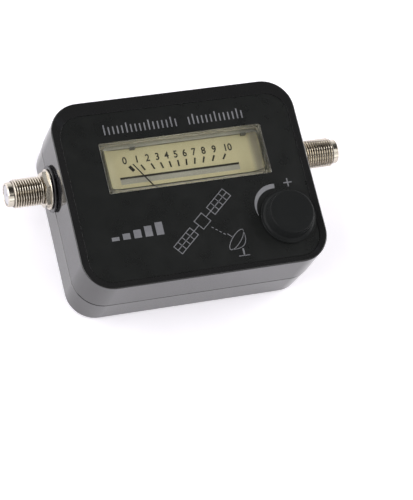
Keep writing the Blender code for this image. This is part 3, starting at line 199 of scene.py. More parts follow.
# %% Blocks and prisms
def prism(points, low, high, middle=(0, 0)):
    """An outline in plan, closed at two heights."""
    solid = bmesh.new()
    lower = ring(solid, points, low, middle)
    upper = ring(solid, points, high, middle)
    strip(solid, lower, upper)
    flat_face(solid, lower)
    flat_face(solid, upper)
    return solid


def drum(radius, low, high, middle=(0, 0), steps=32):
    """An upright cylinder."""
    return prism(circle(radius, steps), low, high, middle)


def block(corner, other_corner):
    """A box between two corners."""
    low = [min(pair) for pair in zip(corner, other_corner)]
    high = [max(pair) for pair in zip(corner, other_corner)]
    points = [(low[0], low[1]), (high[0], low[1]), (high[0], high[1]), (low[0], high[1])]
    return prism(points, low[2], high[2])


# %% From solids to a mesh
SMOOTH_BELOW_DEG = 32
SAME_POINT = 0.000001


def to_mesh(solid, name):
    """A solid as a mesh. The solid is used up."""
    mesh = bpy.data.meshes.new(name)
    solid.to_mesh(mesh)
    solid.free()
    return mesh


def mesh_from(*solids):
    """One mesh of several closed solids, with smooth rounds and crisp edges."""
    whole = bmesh.new()
    for solid in solids:
        bmesh.ops.recalc_face_normals(solid, faces=solid.faces)
        part = to_mesh(solid, "solid")
        whole.from_mesh(part)
        bpy.data.meshes.remove(part)
    return crisp(to_mesh(whole, "piece"))


def crisp(mesh):
    """Smooth shading that breaks at real edges."""
    mesh.shade_smooth()
    mesh.set_sharp_from_angle(angle=math.radians(SMOOTH_BELOW_DEG))
    return mesh


def carved(mesh, operation, *solids):
    """The mesh after solids are cut from it ("DIFFERENCE"), joined to it ("UNION"), or have kept only
    what lies inside them ("INTERSECT")."""
    body = bpy.data.objects.new("body", mesh)
    tool = bpy.data.objects.new("tool", mesh_from(*solids))
    for item in (body, tool):
        scene.collection.objects.link(item)
    cut = body.modifiers.new("cut", "BOOLEAN")
    cut.operation = operation
    cut.solver = "EXACT"
    cut.object = tool
    result = bpy.data.meshes.new_from_object(body.evaluated_get(bpy.context.evaluated_depsgraph_get()))
    for item in (body, tool):
        bpy.data.objects.remove(item)
    return crisp(result)


# %% From a mesh to a piece of the meter
# Each finish is kept under its name.
finishes = {}


def finished_piece(name, mesh, finish, slot=None, body="case", place=(0, 0, 0), turn=(0, 0, 0),
                   stands_for=()):
    """Show a mesh under a name, in its finish, riding on its CAD body."""
    piece = bpy.data.objects.new(name, mesh)
    scene.collection.objects.link(piece)
    piece.location = place
    piece.rotation_euler = turn
    mesh.materials.clear()
    mesh.materials.append(finishes[finish])
    piece.modifiers.new("even_shading", "WEIGHTED_NORMAL").keep_sharp = True
    slot = slot or finish
    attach(piece, body)
    if stands_for:
        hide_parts(*stands_for)
    print(f"{name}: {len(mesh.vertices)} points, {len(mesh.polygons)} faces")


# %% [markdown]
# ## Shared effects
# Three effects turn up in many finishes: the fine grain that a mould or a rolling mill leaves, the light
# rub along edges, and the dust that settles on what looks up. Each is one shader node group with named
# sockets, built once. The groups give only heights and masks, and every shader stays in its material. A few
# helpers come first, because every effect and finish is nodes that feed one another.

# %% Helpers for shader nodes
def feed(tree, socket, value):
    """Set a socket to a number or a colour, or link another socket to it."""
    if isinstance(value, bpy.types.NodeSocket):
        tree.links.new(value, socket)
    else:
        socket.default_value = (*value, 1.0) if isinstance(value, tuple) else value


def add_node(tree, kind, feeds, **settings):
    """A shader node with its settings made and its inputs fed, each by its name or number."""
    node = tree.nodes.new("ShaderNode" + kind)
    for setting, value in settings.items():
        setattr(node, setting, value)
    for label, value in feeds.items():
        feed(tree, node.inputs[label], value)
    return node


def math_node(tree, operation, first, second=0.0, clamp=False):
    """What one operation makes of sockets or plain numbers."""
    node = add_node(tree, "Math", {0: first, 1: second}, operation=operation, use_clamp=clamp)
    return node.outputs["Value"]


def own_place(tree):
    """The surface's own place, in metres."""
    return add_node(tree, "TexCoord", {}).outputs["Object"]


def parts_of(tree, vector):
    """The X, Y and Z of a vector."""
    return add_node(tree, "SeparateXYZ", {0: vector}).outputs


def noise(tree, scale, detail=3.0, roughness=0.55):
    """A Noise texture over the surface's own place."""
    feeds = {"Vector": own_place(tree), "Scale": scale, "Detail": detail, "Roughness": roughness}
    return add_node(tree, "TexNoise", feeds).outputs["Fac"]


def ramp(tree, value, start, end, low=0.0, high=1.0, **settings):
    """A value that runs from low to high while another runs from start to end."""
    feeds = {"Value": value, "From Min": start, "From Max": end, "To Min": low, "To Max": high}
    return add_node(tree, "MapRange", feeds, **settings).outputs["Result"]


def effect_group(name, inputs, outputs):
    """A node group with float sockets, what it is given and what it gives. inputs maps names to defaults."""
    group = bpy.data.node_groups.new(name, "ShaderNodeTree")
    for label, default in inputs.items():
        socket = group.interface.new_socket(label, in_out="INPUT", socket_type="NodeSocketFloat")
        socket.default_value = default
    for label in outputs:
        group.interface.new_socket(label, in_out="OUTPUT", socket_type="NodeSocketFloat")
    return group, group.nodes.new("NodeGroupInput").outputs, group.nodes.new("NodeGroupOutput").inputs


# %% Fine grain
# Scale counts the grains in a metre, so 4000 gives specks of a quarter of a millimetre.
GRAIN_PER_METRE = 4000
BLOTCH_PER_METRE = 160
GRAIN_DETAIL = 2.0
BLOTCH_DETAIL = 4.0
BLOTCH_HARSHNESS = 0.6

grain, given, gives = effect_group(
    "fine_grain", {"Grains": GRAIN_PER_METRE, "Blotches": BLOTCH_PER_METRE}, ("Height", "Blotch"))
feed(grain, gives["Height"], noise(grain, given["Grains"], GRAIN_DETAIL))
feed(grain, gives["Blotch"], noise(grain, given["Blotches"], BLOTCH_DETAIL, BLOTCH_HARSHNESS))

# %% Edge wear
# Pointiness is above one half on outward edges and below it in hollows. Each side is stretched into a mask,
# and the rubbed edges are broken up by noise.
WEAR_PATCHES_PER_METRE = 700
WEAR_START = 0.52
WEAR_STRENGTH = 8.0

wear, given, gives = effect_group(
    "edge_wear", {"Start": WEAR_START, "Strength": WEAR_STRENGTH}, ("Mask", "Hollow"))
edge = add_node(wear, "NewGeometry", {}).outputs["Pointiness"]
past_start = math_node(wear, "SUBTRACT", edge, given["Start"])
rubbed = math_node(wear, "MULTIPLY", past_start, given["Strength"], clamp=True)
patches = noise(wear, WEAR_PATCHES_PER_METRE)
feed(wear, gives["Mask"], math_node(wear, "MULTIPLY", rubbed, patches, clamp=True))
# The hollow mask carries painted shade where a finish uses it.
sunk = math_node(wear, "SUBTRACT", math_node(wear, "SUBTRACT", 1.0, given["Start"]), edge)
feed(wear, gives["Hollow"], math_node(wear, "MULTIPLY", sunk, given["Strength"], clamp=True))

# %% Settled dust
# Dust lies only where the surface looks up, in soft uneven patches: a thin film with motes in it.
DUST_PER_METRE = 2600
DRIFT_PER_METRE = 60
MOTE_DETAIL = 1.0
MOTE_LEVEL = 0.66
FILM_SHARE = 0.35
UPWARD_POWER = 3.0
DUST_AMOUNT = 0.04
DUST_COLOR = (0.42, 0.41, 0.39)

dust, given, gives = effect_group("settled_dust", {"Amount": DUST_AMOUNT}, ("Mask",))
facing = parts_of(dust, add_node(dust, "NewGeometry", {}).outputs["Normal"])
motes = math_node(dust, "GREATER_THAN", noise(dust, DUST_PER_METRE, MOTE_DETAIL), MOTE_LEVEL)
upward = math_node(dust, "POWER", facing["Z"], UPWARD_POWER, clamp=True)
drift = math_node(dust, "MULTIPLY", upward, noise(dust, DRIFT_PER_METRE))
spread = math_node(dust, "MULTIPLY", math_node(dust, "ADD", motes, FILM_SHARE), drift)
feed(dust, gives["Mask"], math_node(dust, "MULTIPLY", spread, given["Amount"], clamp=True))
print("effects:", [group.name for group in bpy.data.node_groups])

# %% [markdown]
# ## A finish from the effects
# Every opaque finish starts the same way: a base colour that drifts a little between two shades, worn edges,
# a dusting, a roughness that follows the blotches, and a bump from the grain. `worked_finish` wires that up,
# and each material's own cell adds what only that material has. `repaint` lays one more colour over what the
# finish shows so far, which is how wear, dust and painted shade are stacked.

# %% Helpers for a finish
def group_node(tree, name, **values):
    """Place a shared effect in a material, with its own values."""
    return add_node(tree, "Group", values, node_tree=bpy.data.node_groups[name]).outputs


def shader_of(finish):
    """The main shader of a finish."""
    return finish.node_tree.nodes["Principled BSDF"]


def mixed_color(tree, mask, first, second):
    """A colour between two, each a tuple or a socket."""
    node = add_node(tree, "Mix", {"Factor": mask}, data_type="RGBA")
    colors = [socket for socket in node.inputs if socket.type == "RGBA"]
    for socket, value in zip(colors, (first, second)):
        feed(tree, socket, value)
    return next(socket for socket in node.outputs if socket.type == "RGBA")


def repaint(finish, mask, color):
    """Lay a colour over what a finish shows so far, under a mask."""
    base = shader_of(finish).inputs["Base Color"]
    feed(finish.node_tree, base, mixed_color(finish.node_tree, mask, base.links[0].from_socket, color))


def bump_to(finish, height, depth):
    """Feed a height to a finish's normal, after any bump that is already there."""
    normal = shader_of(finish).inputs["Normal"]
    bump = add_node(finish.node_tree, "Bump", {"Strength": 1.0, "Distance": depth, "Height": height})
    if normal.is_linked:
        feed(finish.node_tree, bump.inputs["Normal"], normal.links[0].from_socket)
    feed(finish.node_tree, normal, bump.outputs["Normal"])


def split_shader(finish, mask, other):
    """Show another shader in place of the finish's own where the mask is 1."""
    tree = finish.node_tree
    choice = add_node(tree, "MixShader", {"Fac": mask, 1: shader_of(finish).outputs["BSDF"],
                                          2: other.outputs["BSDF"]})
    feed(tree, tree.nodes["Material Output"].inputs["Surface"], choice.outputs["Shader"])


# %% The common start of a finish
# Noise keeps to the middle of its range, so its useful part is stretched.
NOISE_RANGE = (0.3, 0.7)
GRAIN_DEPTH = 0.000004


def start_finish(name, roughness, grains=GRAIN_PER_METRE, **constants):
    """A new finish with plain values set and a roughness that follows the blotches, low to high."""
    finish = bpy.data.materials.new(name)
    finish.use_nodes = True
    finishes[name] = finish
    shader = shader_of(finish)
    for label, value in constants.items():
        shader.inputs[label].default_value = value
    effect = group_node(finish.node_tree, "fine_grain", Grains=grains)
    follow = ramp(finish.node_tree, effect["Blotch"], *NOISE_RANGE, *roughness)
    feed(finish.node_tree, shader.inputs["Roughness"], follow)
    print(name, "has a roughness of", roughness)
    return finish, finish.node_tree, effect


def worked_finish(name, color, other_color, roughness, metallic=0.0, worn=None, hollow=None,
                  dusty=DUST_AMOUNT, grains=GRAIN_PER_METRE, grain_depth=GRAIN_DEPTH):
    """An opaque finish. worn and hollow are the colours that rubbed edges and hollows turn to; hollow is
    painted shade.
    """
    finish, tree, effect = start_finish(name, roughness, grains, Metallic=metallic)
    blotches = ramp(tree, effect["Blotch"], *NOISE_RANGE)
    shade = mixed_color(tree, blotches, color, other_color)
    feed(tree, shader_of(finish).inputs["Base Color"], shade)
    for side, wear_color in (("Mask", worn), ("Hollow", hollow)):
        if wear_color:
            repaint(finish, group_node(tree, "edge_wear")[side], wear_color)
    if dusty:
        repaint(finish, group_node(tree, "settled_dust", Amount=dusty)["Mask"], DUST_COLOR)
    bump_to(finish, effect["Height"], grain_depth)
    return finish


# %% [markdown]
# ## Black plastics
# The case is moulded in polished black ABS, which mirrors the pale table at a low angle, so its walls look
# grey though the plastic is black. The printed film on the face is a shade greyer and less glossy, and the
# knob is the same ABS with a satin top.

# %% Case, film and knob
POLISHED_GRAIN_DEPTH = 0.0000004
FILM_GRAIN_DEPTH = 0.000002
KNOB_IOR = 1.14

worked_finish("case_plastic", (0.0125, 0.0125, 0.0128), (0.0138, 0.0138, 0.0141), (0.05, 0.09),
              worn=(0.020, 0.020, 0.023), dusty=0.006, grain_depth=POLISHED_GRAIN_DEPTH)
worked_finish("label_film", (0.0084, 0.0090, 0.0088), (0.0094, 0.0100, 0.0098), (0.26, 0.32), dusty=0.004,
              grain_depth=FILM_GRAIN_DEPTH)
worked_finish("knob_plastic", (0.0128, 0.0135, 0.0137), (0.0140, 0.0147, 0.0149), (0.22, 0.28),
              worn=(0.012, 0.012, 0.012), dusty=0.004)
shader_of(finishes["knob_plastic"]).inputs["IOR"].default_value = KNOB_IOR
worked_finish("dark_plastic", (0.060, 0.057, 0.046), (0.075, 0.071, 0.058), (0.40, 0.55),
              worn=(0.10, 0.10, 0.09))
worked_finish("rubber", (0.005, 0.005, 0.007), (0.008, 0.008, 0.011), (0.22, 0.34),
              worn=(0.014, 0.014, 0.018), dusty=0.006)
worked_finish("needle_paint", (0.006, 0.006, 0.006), (0.012, 0.012, 0.012), (0.40, 0.50), dusty=0.0)

# %% [markdown]
# ## Plated metal
# The sockets are turned brass under bright nickel. Nickel is a warm grey mirror, broken only by the fine
# rings that the lathe left and by painted shade in its hollows, and dulled a little by handling. Steel and
# brass start the same way.

# %% Nickel, steel and brass
# A Wave texture of scale 1 repeats every 2 pi / 20 metres, so a count for each metre becomes its scale.
WAVE_SCALE_PER_COUNT = math.tau / 20
RING_WOBBLE = 1.5
LATHE_RINGS_PER_METRE = 5000
LATHE_RING_DEPTH = 0.000001


def add_rings(finish, rings_per_metre, depth):
    """Fine rings about the piece's own upright axis."""
    feeds = {"Vector": own_place(finish.node_tree), "Scale": rings_per_metre * WAVE_SCALE_PER_COUNT,
             "Distortion": RING_WOBBLE}
    wave = add_node(finish.node_tree, "TexWave", feeds, bands_direction="Z")
    bump_to(finish, wave.outputs["Fac"], depth)


# The hollow colour is painted shade in the socket's hollows, deepest in the thread's valleys.
nickel = worked_finish("nickel", (0.56, 0.51, 0.43), (0.66, 0.61, 0.53), (0.14, 0.24), metallic=1.0,
                       worn=(0.76, 0.72, 0.65), hollow=(0.06, 0.045, 0.035), dusty=0.02)
add_rings(nickel, LATHE_RINGS_PER_METRE, LATHE_RING_DEPTH)
worked_finish("steel", (0.50, 0.50, 0.50), (0.62, 0.62, 0.63), (0.24, 0.40), metallic=1.0,
              worn=(0.75, 0.75, 0.75))
worked_finish("brass", (0.62, 0.44, 0.18), (0.76, 0.58, 0.28), (0.20, 0.36), metallic=1.0,
              worn=(0.85, 0.70, 0.38))

# %% [markdown]
# ## Painted shade in the thread
# The thread's root is painted dark, as shade that falls deep between the turns, while its crest stays
# bright.
# The root is simply the place nearest the socket's own axis, so a distance from that axis, taken between the
# thread's two ends, makes the mask.

# %% Paint shade into the thread's root
THREAD_START = 0.0034
TIP_START = 0.0131
ROOT_SHADE_RADIUS = 0.00405
UNSHADED_RADIUS = 0.00438
ROOT_SHADE_COLOR = (0.085, 0.070, 0.055)


def length_of(tree, first, second):
    """The length of a flat vector, from its two parts."""
    squares = [math_node(tree, "MULTIPLY", part, part) for part in (first, second)]
    return math_node(tree, "SQRT", math_node(tree, "ADD", *squares))


tree = nickel.node_tree
point = parts_of(tree, own_place(tree))
near_root = ramp(tree, length_of(tree, point["X"], point["Y"]), ROOT_SHADE_RADIUS, UNSHADED_RADIUS, 1.0, 0.0)
past_hexagon = math_node(tree, "GREATER_THAN", point["Z"], THREAD_START)
before_tip = math_node(tree, "LESS_THAN", point["Z"], TIP_START)
in_thread = math_node(tree, "MULTIPLY", past_hexagon, before_tip)
# Painted shade at the thread's root.
repaint(nickel, math_node(tree, "MULTIPLY", in_thread, near_root), ROOT_SHADE_COLOR)

# %% [markdown]
# ## The moving coil's winding
# The coil is wound from enamelled copper wire. The same rings as on the nickel, but deeper and at the
# wire's own pitch, give each turn its round back.

# %% Enamelled winding
TURNS_PER_METRE = 8000
TURN_DEPTH = 0.00002

winding = worked_finish("copper_winding", (0.42, 0.14, 0.05), (0.58, 0.24, 0.10), (0.22, 0.34), metallic=1.0)
add_rings(winding, TURNS_PER_METRE, TURN_DEPTH)

# %% [markdown]
# ## Cream dial and tray
# The dial is a printed card, warm cream, with painted shade: a little deeper in colour towards its lower
# edge where the light of the window fades, and at its right end, which bends up into shade. Its tray is the
# same cream in moulded plastic.

# %% Dial card and tray plastic
DIAL_LOWER_Y = 0.001
DIAL_UPPER_Y = 0.0153
DIAL_LOWER_SHADE_COLOR = (0.36, 0.326, 0.203)
DIAL_SHADE_X = 0.0226
DIAL_SHADE_END_X = 0.0250
DIAL_SHADE_COLOR = (0.15, 0.135, 0.095)
CARD_GRAIN_PER_METRE = 6000
CARD_GRAIN_DEPTH = 0.000003

worked_finish("tray_plastic", (0.36, 0.33, 0.25), (0.40, 0.37, 0.28), (0.35, 0.50), dusty=0.0)
card = worked_finish("dial_card", (0.41, 0.375, 0.236), (0.44, 0.403, 0.256), (0.42, 0.55), dusty=0.0,
                     grains=CARD_GRAIN_PER_METRE, grain_depth=CARD_GRAIN_DEPTH)
tree = card.node_tree
point = parts_of(tree, own_place(tree))
# Painted shade: darker towards the card's lower edge and at its bent right end.
repaint(card, ramp(tree, point["Y"], DIAL_LOWER_Y, DIAL_UPPER_Y, 1.0, 0.0), DIAL_LOWER_SHADE_COLOR)
shaded_right_end = ramp(tree, point["X"], DIAL_SHADE_X, DIAL_SHADE_END_X, interpolation_type="SMOOTHSTEP")
repaint(card, shaded_right_end, DIAL_SHADE_COLOR)

# %% [markdown]
# ## Painted shadow round the card
# A thin line of painted shadow follows the card's edge, with round corners, where the gap to the tray lies
# in shade. In shader terms that is the distance to a round rectangle: the part of a point that lies past the
# corner's middle, less the corner's radius.

# %% Painted shadow line round the card
CARD_LINE_MIDDLE = (0.0016, 0.01125)
CARD_LINE_HALF = (0.02575, 0.00900)
CARD_LINE_CORNER = 0.0009
CARD_LINE_HALF_WIDTH = 0.00014
CARD_LINE_SOFTNESS = 0.00012
CARD_GAP_SHADE_COLOR = (0.018, 0.016, 0.012)

past_middles = []
for axis, middle, half in zip("XY", CARD_LINE_MIDDLE, CARD_LINE_HALF):
    off_middle = math_node(tree, "ABSOLUTE", math_node(tree, "SUBTRACT", point[axis], middle))
    past = math_node(tree, "SUBTRACT", off_middle, half - CARD_LINE_CORNER)
    past_middles.append(math_node(tree, "MAXIMUM", past, 0.0))
past_corner = math_node(tree, "SUBTRACT", length_of(tree, *past_middles), CARD_LINE_CORNER)
line_end = CARD_LINE_HALF_WIDTH + CARD_LINE_SOFTNESS
in_gap_shade = ramp(tree, math_node(tree, "ABSOLUTE", past_corner), CARD_LINE_HALF_WIDTH, line_end, 1.0, 0.0)
# Painted shadow of the gap between card and tray, laid as a thin dark line.
repaint(card, in_gap_shade, CARD_GAP_SHADE_COLOR)

# %% [markdown]
# ## Clear window
# The window is one thick clear moulding. A real transparent shader lets the dial show through and keeps the
# bright lines in its walls. Light would reach the dial only by luck through solid glass, so shadow rays
# see a clear surface instead: a Light Path node in the material picks them out. The walls are duller than
# the polished top, and the surface's own normal tells the two apart.

# %% Clear plastic, jewel and lamp glass
TINT_SHARE = 0.97
CLEAR_PLASTIC_IOR = 1.49
JEWEL_IOR = 1.76
LAMP_GLASS_IOR = 1.5


def clear_finish(name, color, roughness, ior):
    """A see-through finish that lets light in to what it covers."""
    constants = {"Metallic": 0.0, "Transmission Weight": 1.0, "IOR": ior}
    finish, tree, effect = start_finish(name, roughness, **constants)
    tint = mixed_color(tree, effect["Blotch"], color, tuple(TINT_SHARE * part for part in color))
    feed(tree, shader_of(finish).inputs["Base Color"], tint)
    shadow_ray = add_node(tree, "LightPath", {}).outputs["Is Shadow Ray"]
    split_shader(finish, shadow_ray, add_node(tree, "BsdfTransparent", {"Color": color}))
    return finish


window = clear_finish("clear_window", (0.95, 0.95, 0.92), (0.02, 0.05), CLEAR_PLASTIC_IOR)
clear_finish("jewel", (0.60, 0.06, 0.12), (0.02, 0.06), JEWEL_IOR)
clear_finish("lamp_glass", (0.95, 0.88, 0.66), (0.10, 0.20), LAMP_GLASS_IOR)

# %% Duller walls
WALL_ROUGHNESS = 0.42
WALL_LEVEL = 0.3
TOP_LEVEL = 0.9

tree = window.node_tree
facing = parts_of(tree, add_node(tree, "TexCoord", {}).outputs["Normal"])
level = math_node(tree, "ABSOLUTE", facing["Z"])
frosting = ramp(tree, level, WALL_LEVEL, TOP_LEVEL, WALL_ROUGHNESS, 0.0)
dulled = shader_of(window).inputs["Roughness"]
feed(tree, dulled, math_node(tree, "ADD", frosting, dulled.links[0].from_socket, clamp=True))
print("the window's walls have a roughness of", WALL_ROUGHNESS)

# %% [markdown]
# ## Board, wires and small parts
# These stay inside the case, yet each has its own finish: a lacquered board with copper tracks under the
# green, coloured wire sleeves, a shrunk sleeve on the capacitor and white insulators in the sockets.

# %% Lacquered board
TRACKS_PER_METRE = 260
TRACK_EDGE = 0.16
TRACK_HEIGHT = 0.00003
TRACK_COLOR = (0.03, 0.20, 0.07)

board = worked_finish("green_board", (0.010, 0.090, 0.035), (0.016, 0.120, 0.050), (0.18, 0.32))
tree = board.node_tree
feeds = {"Vector": own_place(tree), "Scale": TRACKS_PER_METRE}
patchwork = add_node(tree, "TexVoronoi", feeds, feature="DISTANCE_TO_EDGE")
on_track = math_node(tree, "GREATER_THAN", patchwork.outputs["Distance"], TRACK_EDGE)
repaint(board, on_track, TRACK_COLOR)
bump_to(board, on_track, TRACK_HEIGHT)

# %% Sleeves, insulators and print
FERRITE_GRAIN_DEPTH = 0.00001
INK_GRAIN_PER_METRE = 9000
INKS = {"silver_print": ((0.135, 0.135, 0.147), (0.165, 0.165, 0.177), (0.35, 0.50)),
        "white_print": ((0.17, 0.17, 0.182), (0.20, 0.20, 0.212), (0.35, 0.50)),
        "black_print": ((0.008, 0.007, 0.006), (0.014, 0.012, 0.010), (0.35, 0.50)),
        "grey_print": ((0.235, 0.228, 0.194), (0.26, 0.252, 0.216), (0.40, 0.55))}

worked_finish("ferrite", (0.040, 0.040, 0.044), (0.070, 0.068, 0.070), (0.50, 0.70),
              worn=(0.12, 0.12, 0.12), grain_depth=FERRITE_GRAIN_DEPTH)
worked_finish("white_insulator", (0.40, 0.39, 0.42), (0.46, 0.45, 0.48), (0.35, 0.50))
worked_finish("blue_sleeve", (0.020, 0.040, 0.170), (0.030, 0.060, 0.220), (0.20, 0.32))
worked_finish("red_insulation", (0.34, 0.020, 0.020), (0.44, 0.035, 0.030), (0.25, 0.40))
for ink, shades in INKS.items():
    worked_finish(ink, *shades, dusty=0.0, grains=INK_GRAIN_PER_METRE)
print(len(finishes), "finishes")

# %% [markdown]
# ## Finishes on the CAD nodes
# The frame's record names a material slot for every node. A node whose shape is right stays as it is and
# takes the detailed finish of its slot. The nodes that get a finer piece below are hidden later.

# %% Paint every node by its slot
for part in frame["record"]["subparts"]:
    node = frame["nodes"][part["node"]]
    for holder in node.material_slots:
        holder.material = finishes[part["material_slot"]]
print("painted", len(frame["nodes"]), "CAD nodes")

# %% [markdown]
# ## Case front
# The front half is one deep moulding: straight walls, a rounded edge to the face, and a shallow recess for
# the printed film. The rim of the recess has a fine rounded edge, which catches the light as a thin bright
# line. Rings of points follow each of these turns, and flat faces with holes close the face and the ceiling.

# %% Sizes of the case
(case_left, case_lower, seam_height), (case_right, case_upper, face_height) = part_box("front_shell")
CASE_LENGTH = case_right - case_left
CASE_WIDTH = case_upper - case_lower
CASE_CORNER = 0.0098
WALL = 0.0020
FACE_ROUNDING = 0.0004
SEAM_EDGE = 0.00015
CEILING = 0.0276
RECESS_FLOOR = 0.0293
RECESS_EDGE = 0.00004
RECESS_CORNER = 0.0072
RECESS_DROP = 0.0012
GAP = 0.0003
SLIM_GAP = 0.0001
label_low, label_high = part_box("face_label")
RECESS_LENGTH = label_high.x - label_low.x + 2 * SLIM_GAP
RECESS_WIDTH = label_high.y - label_low.y + 2 * SLIM_GAP
WINDOW_PLACE = (0.0006, 0.00815)
WINDOW_LENGTH = 0.0533
WINDOW_WIDTH = 0.0169
WINDOW_CORNER = 0.0004
KNOB_PLACE = (0.0286, -0.0156)
CONTROL_HOLE = 0.0038
print("case, mm:", round(1000 * CASE_LENGTH, 2), round(1000 * CASE_WIDTH, 2), round(1000 * face_height, 2))


# %% The front half's outside and inside
ROUNDING_STEPS = 6


def inset_ring(solid, size, corner, inset, height, middle=(0, 0)):
    """A round rectangle drawn in by an inset, or widened where it is negative, as a ring at a height."""
    points = round_rectangle(size[0] - 2 * inset, size[1] - 2 * inset, corner - inset)
    return ring(solid, points, height, middle)


def case_ring(solid, inset, height):
    """The case's outline, drawn in by an inset."""
    return inset_ring(solid, (CASE_LENGTH, CASE_WIDTH), CASE_CORNER, inset, height)


def recess_ring(solid, outset, height):
    """The film's recess, widened by an outset."""
    size = (RECESS_LENGTH, RECESS_WIDTH)
    return inset_ring(solid, size, RECESS_CORNER, -outset, height, (0, -RECESS_DROP))


front = bmesh.new()
levels = [(WALL, CEILING), (WALL, seam_height), (SEAM_EDGE, seam_height), (0, seam_height + SEAM_EDGE)]
levels += [(inward, face_height - down) for inward, down in quarter_round(FACE_ROUNDING, ROUNDING_STEPS)]
outside = [case_ring(front, inset, height) for inset, height in levels]
stack(front, outside)
rim = [recess_ring(front, outward, face_height - down) for down, outward in quarter_round(RECESS_EDGE)]
rim.append(recess_ring(front, 0, RECESS_FLOOR))
strip(front, outside[-1], rim[0])
stack(front, rim)


# %% Holes for the window and the control
def cut_openings(solid, shapes, top, bottom):
    """Wall the sides of straight openings, and give their upper rings and their lower rings."""
    walls = []
    for points, middle in shapes:
        upper = ring(solid, points, top, middle)
        lower = ring(solid, points, bottom, middle)
        strip(solid, lower, upper)
        walls.append((upper, lower))
    return zip(*walls)


window_points = round_rectangle(WINDOW_LENGTH, WINDOW_WIDTH, WINDOW_CORNER, 4)
shapes = ((window_points, WINDOW_PLACE), (circle(CONTROL_HOLE), KNOB_PLACE))
upper_rings, lower_rings = cut_openings(front, shapes, RECESS_FLOOR, CEILING)
flat_face(front, rim[-1], *upper_rings)
flat_face(front, outside[0], *lower_rings)
front_mesh = mesh_from(front)

# %% Bosses, pads and socket holes
SCREW_PLACES = [(x, y) for x in (-0.0322, 0.0322) for y in (-0.0236, 0.0236)]
BOSS_RADIUS = 0.0027
SCREW_RADIUS = 0.0013
BOSS_FOOT = 0.0160
PILOT_TOP = 0.0234
BOSS_ROOT = 0.0283
SOCKET_Y = 0.0088
SOCKET_Z = 0.0163
SOCKET_HOLE = 0.00485
PAD_HALF_WIDTH = 0.0076
PAD_TOP = 0.0243
PAD_NEAR = 0.0367
PAD_FAR = 0.0390
OVERRUN = 0.001


def socket_hole():
    """A drum through both end walls."""
    solid = drum(SOCKET_HOLE, -CASE_LENGTH / 2 - OVERRUN, CASE_LENGTH / 2 + OVERRUN, steps=48)
    bmesh.ops.rotate(solid, verts=solid.verts, matrix=Quaternion((0, 1, 0), QUARTER_TURN).to_matrix())
    bmesh.ops.translate(solid, verts=solid.verts, vec=(0, SOCKET_Y, SOCKET_Z))
    return solid


bosses = [drum(BOSS_RADIUS, BOSS_FOOT, BOSS_ROOT, place) for place in SCREW_PLACES]
pads = [block((side * PAD_NEAR, SOCKET_Y - PAD_HALF_WIDTH, seam_height),
              (side * PAD_FAR, SOCKET_Y + PAD_HALF_WIDTH, PAD_TOP)) for side in (-1, 1)]
pilots = [drum(SCREW_RADIUS + GAP, seam_height, PILOT_TOP, place, 16) for place in SCREW_PLACES]
front_mesh = carved(front_mesh, "UNION", *bosses)
front_mesh = carved(front_mesh, "UNION", *pads)
front_mesh = carved(front_mesh, "DIFFERENCE", *pilots)
front_mesh = carved(front_mesh, "DIFFERENCE", socket_hole())
finished_piece("case_front", front_mesh, "case_plastic", stands_for=["front_shell"])

# %% [markdown]
# ## Case back
# The back half is a tray that sits a hair inside the front's outline, so a fine step runs round the seam.
# Four wells take the screws. It is built the same way, with a locating lip inside the seam.

# %% The back half's rings
BACK_INSET = 0.00015
BACK_SHOULDER = 0.0006
FOOT_INSET = 0.00065
BACK_ROUNDING = 0.0010
BACK_SEAM = seam_height - GAP
LIP_OUTSIDE = WALL + GAP
LIP_INSIDE = 0.0033
LIP_TOP = 0.0157
FLOOR_TOP = 0.0022
WELL_RADIUS = 0.0028
WELL_TOP = 0.0034
COLLAR_RADIUS = 0.0040
COLLAR_TOP = 0.0049
BOARD_HEIGHT = 0.0060
BOARD_TOP = 0.0076
BOARD_PLACES = [(x, y) for x in (-0.0275, 0.0275) for y in (-0.0140, 0.0140)]
STANDOFF_RADIUS = 0.0023

back = bmesh.new()
levels = [(FOOT_INSET + inward, up) for up, inward in quarter_round(BACK_ROUNDING, ROUNDING_STEPS)]
levels += [(BACK_INSET, BACK_SEAM - BACK_SHOULDER), (BACK_INSET + BACK_SHOULDER, BACK_SEAM),
           (LIP_OUTSIDE, BACK_SEAM), (LIP_OUTSIDE, LIP_TOP), (LIP_INSIDE, LIP_TOP), (LIP_INSIDE, FLOOR_TOP)]
outside = [case_ring(back, inset, height) for inset, height in levels]
stack(back, outside)
flat_face(back, outside[0])
flat_face(back, outside[-1])
back_mesh = mesh_from(back)

# %% Collars, posts and wells
root = FLOOR_TOP / 2
collars = [drum(COLLAR_RADIUS, root, COLLAR_TOP, place) for place in SCREW_PLACES]
posts = [drum(BOSS_RADIUS, root, LIP_TOP, place) for place in SCREW_PLACES]
posts += [drum(STANDOFF_RADIUS, root, BOARD_HEIGHT - GAP, place) for place in BOARD_PLACES]
wells = [drum(WELL_RADIUS, -OVERRUN, WELL_TOP, place, 40) for place in SCREW_PLACES]
shafts = [drum(SCREW_RADIUS + GAP, WELL_TOP - SLIM_GAP, LIP_TOP + OVERRUN, place, 16)
          for place in SCREW_PLACES]
notches = [block((side * (CASE_LENGTH / 2 - LIP_INSIDE - OVERRUN), SOCKET_Y - PAD_HALF_WIDTH - GAP,
                  BACK_SEAM),
                 (side * (CASE_LENGTH / 2 - WALL), SOCKET_Y + PAD_HALF_WIDTH + GAP, LIP_TOP + OVERRUN))
           for side in (-1, 1)]
for operation, solids in (("UNION", collars), ("UNION", posts), ("DIFFERENCE", wells),
                          ("DIFFERENCE", shafts), ("DIFFERENCE", notches), ("DIFFERENCE", [socket_hole()])):
    back_mesh = carved(back_mesh, operation, *solids)
finished_piece("case_back", back_mesh, "case_plastic", stands_for=["back_shell"])

